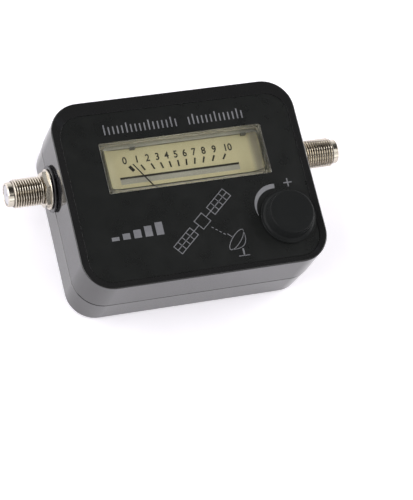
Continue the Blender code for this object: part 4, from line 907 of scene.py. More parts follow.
# %% [markdown]
# ## Printed film
# The film is a thin sheet in the recess. Its cut edge is very slightly rounded, and it is open at the
# window and round the control's nut.

# %% Cut the film
FILM_EDGE = 0.00006
NUT_HOLE = 0.0052
film_bottom = label_low.z
film_top = label_high.z
film_size = (label_high.x - label_low.x, label_high.y - label_low.y)

film = bmesh.new()
levels = ((0, film_bottom), (0, film_top - FILM_EDGE), (FILM_EDGE, film_top))
edges = [inset_ring(film, film_size, RECESS_CORNER - SLIM_GAP, inset, height, (0, -RECESS_DROP))
         for inset, height in levels]
stack(film, edges)
shapes = ((window_points, WINDOW_PLACE), (circle(NUT_HOLE), KNOB_PLACE))
upper_rings, lower_rings = cut_openings(film, shapes, film_top, film_bottom)
flat_face(film, edges[-1], *upper_rings)
flat_face(film, edges[0], *lower_rings)
finished_piece("face_film", mesh_from(film), "label_film", stands_for=["face_label"])

# %% [markdown]
# ## Window moulding
# The clear cover is a lid with thick walls. Its edges are rounded a little, as a mould leaves them, and
# the round edges and thick walls give the pale strips that frame the dial in the photograph.

# %% Mould the window
COVER_WALL = 0.0010
COVER_PLATE = 0.0012
COVER_FLANGE = 0.0015
COVER_INNER_CORNER = 0.0016
COVER_EDGE = 0.00018
cover_low, cover_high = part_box("window_cover")
COVER_LENGTH = WINDOW_LENGTH - 2 * SLIM_GAP
COVER_WIDTH = WINDOW_WIDTH - 2 * SLIM_GAP
FLANGE_THICKNESS = 0.0007
FLANGE_TOP = CEILING - GAP
FLANGE_FOOT = FLANGE_TOP - FLANGE_THICKNESS
plate_under = cover_high.z - COVER_PLATE


def cover_ring(solid, inset, height, corner):
    """The cover's outline at a height."""
    points = round_rectangle(COVER_LENGTH - 2 * inset, COVER_WIDTH - 2 * inset, corner, 8)
    return ring(solid, points, height, WINDOW_PLACE)


cover = bmesh.new()
levels = [(COVER_WALL, plate_under, COVER_INNER_CORNER), (COVER_WALL, cover_low.z, COVER_INNER_CORNER),
          (0, cover_low.z, WINDOW_CORNER), (0, FLANGE_FOOT, WINDOW_CORNER),
          (-COVER_FLANGE, FLANGE_FOOT, COVER_FLANGE), (-COVER_FLANGE, FLANGE_TOP, COVER_FLANGE),
          (0, FLANGE_TOP, WINDOW_CORNER)]
levels += [(inward, cover_high.z - down, WINDOW_CORNER) for inward, down in quarter_round(COVER_EDGE)]
rings = [cover_ring(cover, *level) for level in levels]
stack(cover, rings)
flat_face(cover, rings[0])
flat_face(cover, rings[-1])
NEEDLE_PLACE = (-0.0007, -0.0137)
SWEEP_HALF = 0.0130
window_lower_edge = WINDOW_PLACE[1] - WINDOW_WIDTH / 2
slot = block((NEEDLE_PLACE[0] - SWEEP_HALF, window_lower_edge - OVERRUN, cover_low.z - OVERRUN),
             (NEEDLE_PLACE[0] + SWEEP_HALF, window_lower_edge + 2 * OVERRUN, FLANGE_FOOT - SLIM_GAP))
cover_mesh = carved(mesh_from(cover), "DIFFERENCE", slot)
finished_piece("clear_cover", cover_mesh, "clear_window", stands_for=["window_cover"])

# %% [markdown]
# ## Dial card
# The card lies flat and sweeps up at both ends like the bed of a skate ramp. Each station along it gives
# four points, two on top and two below, and the stations close in round the corners at the ends.

# %% Bend the dial
dial_low, dial_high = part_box("dial_plate")
DIAL_THICKNESS = 0.0005
DIAL_RUN = 0.0047
DIAL_RISE = 0.0030
DIAL_CORNER = 0.0013
dial_top = dial_low.z + DIAL_THICKNESS
half_length = (dial_high.x - dial_low.x) / 2
half_width = (dial_high.y - dial_low.y) / 2
dial_middle = ((dial_high.x + dial_low.x) / 2, (dial_high.y + dial_low.y) / 2)
DIAL_STATIONS = 26


def dial_station(share):
    """Place along, rise and half width at a share of the bent end, 0 at the bend and 1 at the tip."""
    x = half_length + DIAL_RUN * (math.sin(QUARTER_TURN * share) - 1)
    rise = DIAL_RISE * (1 - math.cos(QUARTER_TURN * share))
    past_corner = max(0.0, x - (half_length - DIAL_CORNER))
    pulled_in = DIAL_CORNER - math.sqrt(max(0.0, DIAL_CORNER ** 2 - past_corner ** 2))
    return x, rise, half_width - pulled_in


dial = bmesh.new()
stations = [dial_station(step / DIAL_STATIONS) for step in range(DIAL_STATIONS + 1)]
stations = [(-x, rise, half) for x, rise, half in reversed(stations)] + stations
loops = []
for x, rise, half in stations:
    corners = [(-half, 0), (half, 0), (half, -DIAL_THICKNESS), (-half, -DIAL_THICKNESS)]
    loops.append([dial.verts.new((dial_middle[0] + x, dial_middle[1] + y, dial_top + rise + z))
                  for y, z in corners])
stack(dial, loops)
dial.faces.new(loops[0])
dial.faces.new(loops[-1])
finished_piece("dial_card", mesh_from(dial), "dial_card", stands_for=["dial_plate"])

# %% [markdown]
# ## Printing
# Ink stands a few hundredths of a millimetre proud. Each print is a set of flat outlines given that
# thickness. One helper lays a straight stroke, another closes any outline, and both sit on a given height.

# %% Ink helpers
INK = 0.00003
INK_GAP = 0.00001


def inked(outlines, height):
    """One mesh of flat outlines, each as thick as ink, on a surface at a height."""
    return mesh_from(*(prism(points, height + INK_GAP, height + INK_GAP + INK) for points in outlines))


def stroke(start, end, width):
    """The outline of a straight stroke."""
    start = Vector(start)
    end = Vector(end)
    along = (end - start).normalized()
    aside = Vector((-along.y, along.x)) * width / 2
    return [tuple(point) for point in (start + aside, start - aside, end - aside, end + aside)]


# %% Scale line and grey band
SCALE_LEFT = -0.0204
SCALE_RIGHT = 0.0188
SCALE_Y = 0.00575
SCALE_WIDTH = 0.00070
BAND_LOWER_Y = 0.0037
BAND_UPPER_Y = 0.00545

line = stroke((SCALE_LEFT, SCALE_Y), (SCALE_RIGHT, SCALE_Y), SCALE_WIDTH)
band_middle = (BAND_LOWER_Y + BAND_UPPER_Y) / 2
band = stroke((SCALE_LEFT, band_middle), (SCALE_RIGHT, band_middle), BAND_UPPER_Y - BAND_LOWER_Y)
finished_piece("scale_line", inked([line], dial_top), "black_print", slot="dial_card")
finished_piece("scale_band", inked([band], dial_top), "grey_print", slot="dial_card")

# %% Tick marks
# The ticks point at the needle's pivot, equal angles apart, and the first is a bold block.
TICKS = 11
FIRST_TICK_DEG = -34.4
TICK_STEP_DEG = 6.88
TICK_TOP_Y = 0.0095
TICK_LENGTH = 0.0021
TICK_WIDTH = 0.00053
FIRST_TICK_WIDTH = 0.00105

ticks = []
for number in range(TICKS):
    angle = math.radians(FIRST_TICK_DEG + TICK_STEP_DEG * number)
    reach = (TICK_TOP_Y - NEEDLE_PLACE[1]) / math.cos(angle)
    tip = (NEEDLE_PLACE[0] + reach * math.sin(angle), TICK_TOP_Y)
    foot = (tip[0] - TICK_LENGTH * math.sin(angle), tip[1] - TICK_LENGTH * math.cos(angle))
    ticks.append(stroke(tip, foot, FIRST_TICK_WIDTH if number == 0 else TICK_WIDTH))
finished_piece("scale_ticks", inked(ticks, dial_top), "black_print", slot="dial_card")

# %% Numerals
# Blender's own sans letters serve as plain numerals. Each becomes a thin mesh and is laid on the card.
NUMERAL_SIZE = 0.0033
NUMERAL_NARROWING = 0.88
NUMERAL_THICKENING = 0.000065
NUMERAL_SHIFT = -0.00025
NUMERAL_BASE_Y = 0.01045
NUMERAL_REACH = 0.0245
WIDE_NUMERAL = 10
WIDE_NUMERAL_SHIFT = 0.0005


def flat_text(words, size, narrowing, thickening):
    """A mesh of flat letters about their middle, as thick as ink."""
    curve = bpy.data.curves.new("letters", "FONT")
    curve.body = words
    curve.size = size
    curve.align_x = "CENTER"
    curve.offset = thickening
    curve.extrude = INK / 2
    holder = bpy.data.objects.new("letters", curve)
    scene.collection.objects.link(holder)
    mesh = bpy.data.meshes.new_from_object(holder.evaluated_get(bpy.context.evaluated_depsgraph_get()))
    bpy.data.objects.remove(holder)
    mesh.transform(Matrix.Diagonal((narrowing, 1, 1, 1)))
    return mesh


numerals = bmesh.new()
for number in range(TICKS):
    angle = math.radians(FIRST_TICK_DEG + TICK_STEP_DEG * number)
    shift = NUMERAL_SHIFT + (WIDE_NUMERAL_SHIFT if number == WIDE_NUMERAL else 0)
    x = NEEDLE_PLACE[0] + NUMERAL_REACH * math.tan(angle) + shift
    digits = flat_text(str(number), NUMERAL_SIZE, NUMERAL_NARROWING, NUMERAL_THICKENING)
    digits.transform(Matrix.Translation((x, NUMERAL_BASE_Y, dial_top + INK_GAP + INK / 2)))
    numerals.from_mesh(digits)
bmesh.ops.remove_doubles(numerals, verts=numerals.verts, dist=SAME_POINT)
finished_piece("scale_numerals", crisp(to_mesh(numerals, "numerals")), "black_print", slot="dial_card")

# %% [markdown]
# ## Marks on the film
# The film carries silver marks. A fine graduated rule runs above the window, rising bars stand for signal
# level at the lower left, and a line figure shows a relay in the sky that beams to a dish. All of them are
# plain outlines with the thickness of ink.

# %% Graduated rule
RULE_LEFT = -0.0232
RULE_PITCH = 0.00146
RULE_STROKES = 32
RULE_REST_STROKES = (17, 18)
RULE_LOWER_Y = 0.0191
RULE_STROKE_HEIGHT = 0.0026
RULE_TALL_HEIGHT = 0.0034
RULE_STROKE_WIDTH = 0.00045
RULE_TALL_EVERY = 5

marks = []
for number in range(RULE_STROKES):
    if number in RULE_REST_STROKES:
        continue
    x = RULE_LEFT + RULE_PITCH * number
    height = RULE_STROKE_HEIGHT if number % RULE_TALL_EVERY else RULE_TALL_HEIGHT
    marks.append(stroke((x, RULE_LOWER_Y), (x, RULE_LOWER_Y + height), RULE_STROKE_WIDTH))
finished_piece("graduated_rule", inked(marks, film_top), "silver_print", slot="label_film")

# %% Level bars and plus sign
BARS = 5
BARS_LEFT = -0.0288
BARS_LOWER_Y = -0.0156
BAR_WIDTH = 0.0024
BAR_PITCH = 0.0036
BAR_FIRST_HEIGHT = 0.0012
BAR_STEP = 0.00075
PLUS_PLACE = Vector((0.0313, -0.0043))
PLUS_HALF = 0.0014
PLUS_STROKE = 0.0004

marks = []
for number in range(BARS):
    x = BARS_LEFT + BAR_WIDTH / 2 + BAR_PITCH * number
    top = BARS_LOWER_Y + BAR_FIRST_HEIGHT + BAR_STEP * number
    marks.append(stroke((x, BARS_LOWER_Y), (x, top), BAR_WIDTH))
finished_piece("level_bars", inked(marks, film_top), "silver_print", slot="label_film")

across = Vector((PLUS_HALF, 0))
upright = Vector((0, PLUS_HALF))
marks = [stroke(PLUS_PLACE - across, PLUS_PLACE + across, PLUS_STROKE)]
for side in (-1, 1):
    near = PLUS_PLACE + side * upright * PLUS_STROKE / (2 * PLUS_HALF)
    marks.append(stroke(PLUS_PLACE + side * upright, near, PLUS_STROKE))
finished_piece("plus_sign", inked(marks, film_top), "silver_print", slot="label_film")

# %% Sweep by the knob
# The sweep follows a circle that is a little off the knob's middle, and thins to a point.
SWEEP_MIDDLE = Vector((0.02607, -0.01206))
SWEEP_RADIUS = 0.00792
SWEEP_THICKNESS = 0.00150
SWEEP_BLUNT_DEG = 85
SWEEP_POINT_DEG = 196
SWEEP_TAPER = 2.2
SWEEP_LEAN = 0.6
SWEEP_STEPS = 36
SWEEP_THINNED_SHARE = 0.99

outer = []
inner = []
for step in range(SWEEP_STEPS + 1):
    share = step / SWEEP_STEPS
    angle = math.radians(SWEEP_BLUNT_DEG + share * (SWEEP_POINT_DEG - SWEEP_BLUNT_DEG))
    outward = Vector((math.cos(angle), math.sin(angle)))
    thickness = SWEEP_THICKNESS * (1 - SWEEP_THINNED_SHARE * share ** SWEEP_TAPER)
    radius = SWEEP_RADIUS - SWEEP_LEAN * (SWEEP_THICKNESS - thickness)
    outer.append(SWEEP_MIDDLE + radius * outward)
    inner.append(SWEEP_MIDDLE + (radius - thickness) * outward)
outline = [tuple(point) for point in outer + inner[::-1]]
finished_piece("level_sweep", inked([outline], film_top), "white_print", slot="label_film")

# %% Line figure
# The relay is a small box with a ruled panel on each side. Its own axes are turned, so that each stroke is
# drawn in them and then placed.
FINE_STROKE = 0.00026
RELAY_PLACE = Vector((0.0009, -0.0131))
RELAY_TURN_DEG = 40
RELAY_BODY = 0.0019
PANEL_NEAR = 0.0045
PANEL_CELL = 0.0021
PANEL_COLUMNS = 4
PANEL_HALF_HEIGHT = 0.0017


def framed(low, high):
    """Four strokes round a rectangle. Each leaves the corner to the next, so no ink overlaps."""
    half = FINE_STROKE / 2
    return [stroke((low[0] - half, low[1]), (high[0] + half, low[1]), FINE_STROKE),
            stroke((low[0] - half, high[1]), (high[0] + half, high[1]), FINE_STROKE),
            stroke((low[0], low[1] + half), (low[0], high[1] - half), FINE_STROKE),
            stroke((high[0], low[1] + half), (high[0], high[1] - half), FINE_STROKE)]


def turned_outlines(outlines, place, turn_deg):
    """Outlines turned about their origin and moved to a place."""
    turn = Matrix.Rotation(math.radians(turn_deg), 2)
    return [[tuple(turn @ Vector(point) + place) for point in points] for points in outlines]


half = FINE_STROKE / 2
relay = framed((-RELAY_BODY, -RELAY_BODY), (RELAY_BODY, RELAY_BODY))
for side in (-1, 1):
    relay.append(stroke((side * (RELAY_BODY + half), 0), (side * (PANEL_NEAR - half), 0), FINE_STROKE))
    far = PANEL_NEAR + PANEL_CELL * PANEL_COLUMNS
    panel_ends = sorted((side * PANEL_NEAR, side * far))
    relay += framed((panel_ends[0], -PANEL_HALF_HEIGHT), (panel_ends[1], PANEL_HALF_HEIGHT))
    for column in range(PANEL_COLUMNS):
        start = side * (PANEL_NEAR + PANEL_CELL * column)
        end = start + side * PANEL_CELL
        relay.append(stroke((start + side * half, 0), (end - side * half, 0), FINE_STROKE))
        for row in (-1, 1) if column else ():
            upright = ((start, row * half), (start, row * (PANEL_HALF_HEIGHT - half)))
            relay.append(stroke(*upright, FINE_STROKE))
marks = turned_outlines(relay, RELAY_PLACE, RELAY_TURN_DEG)

# %% Beam and dish
BEAM_START = Vector((0.0033, -0.0154))
BEAM_END = Vector((0.0077, -0.0188))
BEAM_DASHES = 4
BEAM_FILLED_SHARE = 0.6
DISH_PLACE = Vector((0.0103, -0.0206))
DISH_TURN_DEG = 48
DISH_RADIUS = 0.0040
DISH_BOW = 0.0013
DISH_STEPS = 16
FOOT_HEIGHT = 0.0026
FOOT_HALF = 0.0018
BOWL_DEPTH = 2.2 * DISH_BOW
ARM_TOP = 2.6 * DISH_BOW

for number in range(BEAM_DASHES):
    start = BEAM_START.lerp(BEAM_END, number / BEAM_DASHES)
    end = BEAM_START.lerp(BEAM_END, (number + BEAM_FILLED_SHARE) / BEAM_DASHES)
    marks.append(stroke(start, end, FINE_STROKE))


def bow(width, depth, thickness, steps):
    """A shallow curved stroke about the origin, open upwards."""
    upper = []
    lower = []
    for step in range(steps + 1):
        x = width * (2 * step / steps - 1)
        y = depth * ((x / width) ** 2 - 1)
        upper.append((x, y + thickness / 2))
        lower.append((x, y - thickness / 2))
    return upper + lower[::-1]


def oval(width, height, thickness, steps):
    """The outlines of a thin oval ring, as a run of small pieces."""
    pieces = []
    for step in range(steps):
        corners = []
        for turn, side in ((step, 1), (step + 1, 1), (step + 1, -1), (step, -1)):
            angle = FULL_TURN * turn / steps
            corners.append(((width + side * thickness / 2) * math.cos(angle),
                            (height + side * thickness / 2) * math.sin(angle)))
        pieces.append(corners)
    return pieces


dish = oval(DISH_RADIUS, DISH_BOW, FINE_STROKE, 2 * DISH_STEPS)
dish.append(bow(DISH_RADIUS, BOWL_DEPTH, FINE_STROKE, DISH_STEPS)[1:-1])
dish.append(stroke((0, DISH_BOW + FINE_STROKE), (0, ARM_TOP), FINE_STROKE))
marks += turned_outlines(dish, DISH_PLACE, DISH_TURN_DEG)
hub = DISH_PLACE + Vector((DISH_BOW, -BOWL_DEPTH))
foot = hub - Vector((0, FOOT_HEIGHT))
marks.append(stroke(hub - Vector((0, FINE_STROKE)), foot + Vector((0, FINE_STROKE)), 2 * FINE_STROKE))
marks.append(stroke(foot - Vector((FOOT_HALF, 0)), foot + Vector((FOOT_HALF, 0)), FINE_STROKE))
finished_piece("line_figure", inked(marks, film_top), "silver_print", slot="label_film")

# %% [markdown]
# ## Knob
# The knob is turned about one axis in the mould: a dished top, a small rounding at the rim, smooth sides
# and a skirt that spreads over the face. One closed profile spun in 96 steps gives it round without facets.

# %% Turn the knob
knob_low, knob_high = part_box("knob")
KNOB_RADIUS = 0.0071
KNOB_ROUNDING = 0.0004
KNOB_WAIST_RADIUS = 0.0076
KNOB_SKIRT_RADIUS = (knob_high.x - knob_low.x) / 2
KNOB_SKIRT_EDGE = 0.0005
KNOB_SKIRT_RISE = 0.0012
KNOB_DISH_RADIUS = 0.0058
KNOB_DISH_FLAT = 0.0030
KNOB_DISH_DEPTH = 0.00015
KNOB_HOLLOW_RADIUS = 0.0056
KNOB_ROOF = 0.0034
KNOB_BORE = 0.0026
KNOB_DISH_STEPS = 8
KNOB_RIM_STEPS = 6
SKIRT_STEPS = 8
FINE_TURN = 96

profile = [(knob_high.z - KNOB_DISH_DEPTH, 0), (knob_high.z - KNOB_DISH_DEPTH, KNOB_DISH_FLAT / 2)]
for step in range(KNOB_DISH_STEPS + 1):
    share = step / KNOB_DISH_STEPS
    eased = share * share * (3 - 2 * share)
    profile.append((knob_high.z - KNOB_DISH_DEPTH * (1 - eased),
                    KNOB_DISH_FLAT + share * (KNOB_DISH_RADIUS - KNOB_DISH_FLAT)))
profile += reversed(rounded_edge(knob_high.z, KNOB_RADIUS, KNOB_ROUNDING, 1, KNOB_RIM_STEPS))
skirt_top = knob_low.z + KNOB_SKIRT_EDGE
skirt_spread = KNOB_SKIRT_RADIUS - SLIM_GAP - KNOB_WAIST_RADIUS
profile += [(skirt_top + KNOB_SKIRT_RISE * rise_share, KNOB_WAIST_RADIUS + skirt_spread * spread_share)
            for spread_share, rise_share in quarter_round(1, SKIRT_STEPS)]
profile += [(skirt_top - SLIM_GAP, KNOB_SKIRT_RADIUS), (knob_low.z + SLIM_GAP, KNOB_SKIRT_RADIUS),
            (knob_low.z, KNOB_SKIRT_RADIUS - SLIM_GAP), (knob_low.z, KNOB_HOLLOW_RADIUS),
            (knob_high.z - KNOB_ROOF, KNOB_HOLLOW_RADIUS), (knob_high.z - KNOB_ROOF, KNOB_BORE)]
shaft_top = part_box("control_shaft")[1].z
profile += [(shaft_top + SLIM_GAP, KNOB_BORE), (shaft_top + SLIM_GAP, 0)]
finished_piece("level_dial_knob", mesh_from(turned(profile, FINE_TURN)), "knob_plastic", body="level_knob",
               place=(*KNOB_PLACE, 0), stands_for=["knob"])

# %% [markdown]
# ## Threaded sockets
# Each socket is a stack of rings along its own axis. Over the threaded length the radius depends on both the
# place along the axis and the angle round it, and that alone makes a true right-hand screw thread that runs
# out softly at both ends. The hexagon is joined on, with the chamfered corners that a nut has.

# %% Sizes of a socket
SOCKET_END = -0.0076
NECK_RADIUS = 0.00455
FLANGE_FACE = 0.0012
HEX_FACE = 0.0017
FLANGE_RADIUS = 0.0064
THREAD_RADIUS = 0.0046
THREAD_DEPTH = 0.00055
SOCKET_REACH = 0.0149
TIP_RADIUS = 0.0039
TIP_CHAMFER = 0.0003
SOCKET_BORE = 0.0032
HEX_FLATS = 0.0105
HEX_TURN_DEG = 11.2
THREAD_TURNS = 12
STEPS_PER_TURN = 12
CREST_SHARE = 0.12
RUN_OUT_TURNS = 0.7
SMALL_EDGE = 0.0001


def thread_height(along, angle):
    """How far the thread stands over its root, 0 to 1, at a place along it and an angle."""
    turns = along * THREAD_TURNS
    from_crest = abs((turns - angle / FULL_TURN) % 1 - 0.5) * 2
    flank = min(1.0, (1 - from_crest) / (1 - CREST_SHARE))
    fade = min(1.0, turns / RUN_OUT_TURNS, (THREAD_TURNS - turns) / RUN_OUT_TURNS)
    return flank * max(0.0, fade)


# %% Cut a socket
def socket_mesh(hex_turn):
    """The metal body of a socket about its own axis, wall side down."""
    solid = bmesh.new()
    root = THREAD_RADIUS - THREAD_DEPTH
    wall_side = [(SOCKET_END, SOCKET_BORE), (SOCKET_END, NECK_RADIUS), (FLANGE_FACE, NECK_RADIUS),
                 (FLANGE_FACE, FLANGE_RADIUS - SMALL_EDGE), (FLANGE_FACE + SMALL_EDGE, FLANGE_RADIUS),
                 (HEX_FACE - SMALL_EDGE, FLANGE_RADIUS), (HEX_FACE, FLANGE_RADIUS - SMALL_EDGE),
                 (HEX_FACE, root)]
    mouth = [(TIP_START, TIP_RADIUS), (SOCKET_REACH - TIP_CHAMFER, TIP_RADIUS),
             (SOCKET_REACH, TIP_RADIUS - TIP_CHAMFER), (SOCKET_REACH, SOCKET_BORE + SMALL_EDGE),
             (SOCKET_REACH - SMALL_EDGE, SOCKET_BORE)]
    rings = [ring(solid, circle(radius, FINE_TURN), height) for height, radius in wall_side]
    stations = THREAD_TURNS * STEPS_PER_TURN
    for station in range(stations + 1):
        along = station / stations
        points = []
        for step in range(FINE_TURN):
            angle = FULL_TURN * step / FINE_TURN
            radius = root + THREAD_DEPTH * thread_height(along, angle)
            points.append((radius * math.cos(angle), radius * math.sin(angle)))
        rings.append(ring(solid, points, THREAD_START + along * (TIP_START - THREAD_START)))
    rings += [ring(solid, circle(radius, FINE_TURN), height) for height, radius in mouth]
    stack(solid, rings + rings[:1])
    return carved(mesh_from(solid), "UNION", hexagon_solid(root - SMALL_EDGE, hex_turn))


def hexagon_solid(hole, hex_turn):
    """The hexagon with its corners turned down on the outer side, open in the middle."""
    corner_radius = HEX_FLATS / math.sqrt(3)
    flat_radius = HEX_FLATS / 2
    cone = [(0, 0), (0, corner_radius), (THREAD_START - (corner_radius - flat_radius) / 2, corner_radius),
            (THREAD_START + SMALL_EDGE, flat_radius - SMALL_EDGE), (THREAD_START + SMALL_EDGE, 0)]
    hexagon = mesh_from(prism(circle(corner_radius, 6, hex_turn), HEX_FACE - SMALL_EDGE, THREAD_START))
    hexagon = carved(hexagon, "INTERSECT", turned(cone, FINE_TURN))
    hexagon = carved(hexagon, "DIFFERENCE", drum(hole, 0, SOCKET_REACH, steps=FINE_TURN))
    solid = bmesh.new()
    solid.from_mesh(hexagon)
    return solid


# %% Washers, insulators and sockets on both ends
SEAL_RADIUS = 0.0075
SEAL_NEAR_RADIUS = 0.0069
SEAL_EDGE = 0.00022
SEAL_NEAR = 0.0002
SEAL_STEP = 0.00045
SEAL_FAR = 0.0010
INSULATOR_MOUTH = 0.0147
CONTACT_TIP = 0.0139
CONTACT_HOLE = 0.00045
CONTACT_RADIUS = 0.0008

inner = CONTACT_RADIUS + SLIM_GAP
outer = SOCKET_BORE - SLIM_GAP
seal = [(SEAL_NEAR, SOCKET_HOLE), (SEAL_FAR, SOCKET_HOLE)]
seal += reversed(rounded_edge(SEAL_FAR, SEAL_RADIUS, SEAL_EDGE, 1))
seal += rounded_edge(SEAL_STEP, SEAL_RADIUS, SEAL_EDGE, -1)
seal += [(SEAL_STEP, SEAL_NEAR_RADIUS), (SEAL_NEAR, SEAL_NEAR_RADIUS)]
plug = [(SOCKET_END, inner), (SOCKET_END, outer), (INSULATOR_MOUTH - SMALL_EDGE, outer),
        (INSULATOR_MOUTH, outer - SMALL_EDGE), (INSULATOR_MOUTH, CONTACT_HOLE + 2 * SMALL_EDGE),
        (INSULATOR_MOUTH - SMALL_EDGE, CONTACT_HOLE), (CONTACT_TIP + SLIM_GAP, CONTACT_HOLE),
        (CONTACT_TIP + SLIM_GAP, inner)]
for label, side in (("left", -1), ("right", 1)):
    place = (side * CASE_LENGTH / 2, SOCKET_Y, SOCKET_Z)
    turn = (0, side * QUARTER_TURN, 0)
    finished_piece(f"{label}_threaded_socket", socket_mesh(side * math.radians(HEX_TURN_DEG)), "nickel",
                   place=place, turn=turn, stands_for=[f"{label}_socket"])
    finished_piece(f"{label}_washer", mesh_from(turned_ring(seal, FINE_TURN)), "rubber",
                   place=place, turn=turn, stands_for=[f"{label}_seal_ring"])
    finished_piece(f"{label}_plug", mesh_from(turned_ring(plug)), "white_insulator",
                   place=place, turn=turn, stands_for=[f"{label}_insulator"])

# %% [markdown]
# ## Screws in the back
# Four self-tapping screws close the case. Each head has a cross recess, two crossed slots cut into a low
# dome, and the shank is plain, with a pointed end.

# %% Make the screws
HEAD_RADIUS = 0.0025
HEAD_FOOT = 0.0015
HEAD_TOP = 0.0031
HEAD_FLAT_SHARE = 0.4
HEAD_DOME_SHARE = 0.75
HEAD_DOME_RISE = 0.0002
HEAD_RIM_RISE = 0.0007
SHANK_TOP = 0.0221
RECESS_DEPTH = 0.0011
RECESS_REACH = 0.00145
RECESS_WIDTH = 0.00048

head = [(HEAD_FOOT, 0), (HEAD_FOOT, HEAD_FLAT_SHARE * HEAD_RADIUS),
        (HEAD_FOOT + HEAD_DOME_RISE, HEAD_DOME_SHARE * HEAD_RADIUS),
        (HEAD_FOOT + HEAD_RIM_RISE, HEAD_RADIUS), (HEAD_TOP - SMALL_EDGE, HEAD_RADIUS),
        (HEAD_TOP, HEAD_RADIUS - SMALL_EDGE),
        (HEAD_TOP, SCREW_RADIUS), (SHANK_TOP - SCREW_RADIUS, SCREW_RADIUS), (SHANK_TOP, 0)]
screw_mesh = mesh_from(turned(head, 40))
for size_x, size_y in ((RECESS_REACH, RECESS_WIDTH / 2), (RECESS_WIDTH / 2, RECESS_REACH)):
    cutter = block((-size_x, -size_y, HEAD_FOOT - OVERRUN), (size_x, size_y, HEAD_FOOT + RECESS_DEPTH))
    screw_mesh = carved(screw_mesh, "DIFFERENCE", cutter)
for number, place in enumerate(SCREW_PLACES, 1):
    node_low, node_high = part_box(f"case_screw_{number}")
    middle = (node_low + node_high) / 2
    finished_piece(f"back_screw_{number}", screw_mesh.copy(), "steel", place=(middle.x, middle.y, 0),
                   stands_for=[f"case_screw_{number}"])
print("screw foot and top, mm:", round(1000 * node_low.z, 2), round(1000 * node_high.z, 2))

# %% [markdown]
# ## Small parts on the board
# Inside, the amplifier needs a few resistors, disc capacitors and transistors. They follow the way such
# parts are made: a waisted body on two bent legs, a lens-shaped disc, a half-round block on three legs.

# %% Resistors
RESISTOR_RADIUS = 0.0009
RESISTOR_HALF = 0.0017
RESISTOR_LIFT = 0.0012
RESISTOR_SHARES = ((-1, 0), (-1, 0.5), (-0.85, 1), (-0.55, 1), (-0.4, 0.8),
                   (0.4, 0.8), (0.55, 1), (0.85, 1), (1, 0.5), (1, 0))
LEG_RADIUS = 0.00025
LEG_SPREAD = 0.0030
LEG_BEND_SHARES = (0.0, 0.5, 0.75, 1.0)
LEG_OUT_SHARE = 0.25
RESISTOR_PLACES = [(-0.0260, 0.0020), (-0.0230, 0.0020), (-0.0100, 0.0155), (-0.0150, 0.0155),
                   (0.0120, -0.0150), (0.0230, 0.0110)]
board_face = BOARD_TOP + SLIM_GAP


def lying_body(shares, half, radius, lift, steps):
    """A body spun from shares of its half length and its radius, laid along Y and lifted."""
    solid = turned([(along * half, out * radius) for along, out in shares], steps)
    bmesh.ops.rotate(solid, verts=solid.verts, matrix=Matrix.Rotation(QUARTER_TURN, 3, "X"))
    bmesh.ops.translate(solid, verts=solid.verts, vec=(0, 0, lift))
    return solid


def lying_leg(side):
    """A leg that leaves a lying body along Y and bends down to the board."""
    solid = bmesh.new()
    rings = []
    for share in LEG_BEND_SHARES:
        angle = QUARTER_TURN * max(0.0, 2 * share - 1)
        out_share = min(1.0, share + LEG_OUT_SHARE * math.sin(angle))
        y = side * (RESISTOR_HALF + (LEG_SPREAD - RESISTOR_HALF) * out_share)
        height = RESISTOR_LIFT - (RESISTOR_LIFT - LEG_RADIUS) * (1 - math.cos(angle))
        rings.append([solid.verts.new((x, y + side * z * math.sin(angle), height + z * math.cos(angle)))
                      for x, z in circle(LEG_RADIUS, 8)])
    stack(solid, rings)
    for end in (rings[0], rings[-1]):
        solid.faces.new(end)
    return solid


def resistor():
    """A waisted body that lies along Y on two legs."""
    body = lying_body(RESISTOR_SHARES, RESISTOR_HALF, RESISTOR_RADIUS, RESISTOR_LIFT, 20)
    return mesh_from(body, lying_leg(-1), lying_leg(1))


def set_on_board(label, places, finish, make):
    """Make a small part at each of its places on the board."""
    for number, (x, y) in enumerate(places, 1):
        finished_piece(f"{label}_{number}", make(), finish, place=(x, y, board_face))


set_on_board("resistor", RESISTOR_PLACES, "blue_sleeve", resistor)

# %% Disc capacitors and transistors
DISC_RADIUS = 0.0022
DISC_THICKNESS = 0.0010
DISC_LIFT = 0.0012
DISC_SHARES = ((-1, 0), (-0.9, 0.5), (-0.6, 0.85), (0, 1), (0.6, 0.85), (0.9, 0.5), (1, 0))
DISC_LEG_SHARE = 0.3
DISC_PLACES = [(0.0200, -0.0165), (-0.0145, -0.0165)]
TRANSISTOR_RADIUS = 0.0023
TRANSISTOR_HEIGHT = 0.0045
TRANSISTOR_LIFT = 0.0015
TRANSISTOR_PLACES = [(-0.0205, 0.0110), (0.0290, 0.0020)]
ROUND_FIRST_DEG = -40
ROUND_SWEEP_DEG = 260
ROUND_STEPS = 20


def upright_legs(sides, spread, top):
    """Straight legs in a row along X, from the board up."""
    return [drum(LEG_RADIUS, 0, top, (side * spread, 0), 8) for side in sides]


def disc_capacitor():
    """A lens-shaped disc that stands on two legs."""
    body = lying_body(DISC_SHARES, DISC_THICKNESS, DISC_RADIUS, DISC_LIFT + DISC_RADIUS, 28)
    return mesh_from(body, *upright_legs((-1, 1), DISC_RADIUS / 2, DISC_LIFT + DISC_LEG_SHARE * DISC_RADIUS))


def transistor():
    """A half-round block on three legs."""
    angles = [math.radians(ROUND_FIRST_DEG + ROUND_SWEEP_DEG * step / ROUND_STEPS)
              for step in range(ROUND_STEPS + 1)]
    outline = [(TRANSISTOR_RADIUS * math.cos(angle), TRANSISTOR_RADIUS * math.sin(angle))
               for angle in angles]
    body = prism(outline, TRANSISTOR_LIFT, TRANSISTOR_LIFT + TRANSISTOR_HEIGHT)
    return mesh_from(body, *upright_legs((-1, 0, 1), TRANSISTOR_RADIUS / 2, TRANSISTOR_LIFT + LEG_RADIUS))


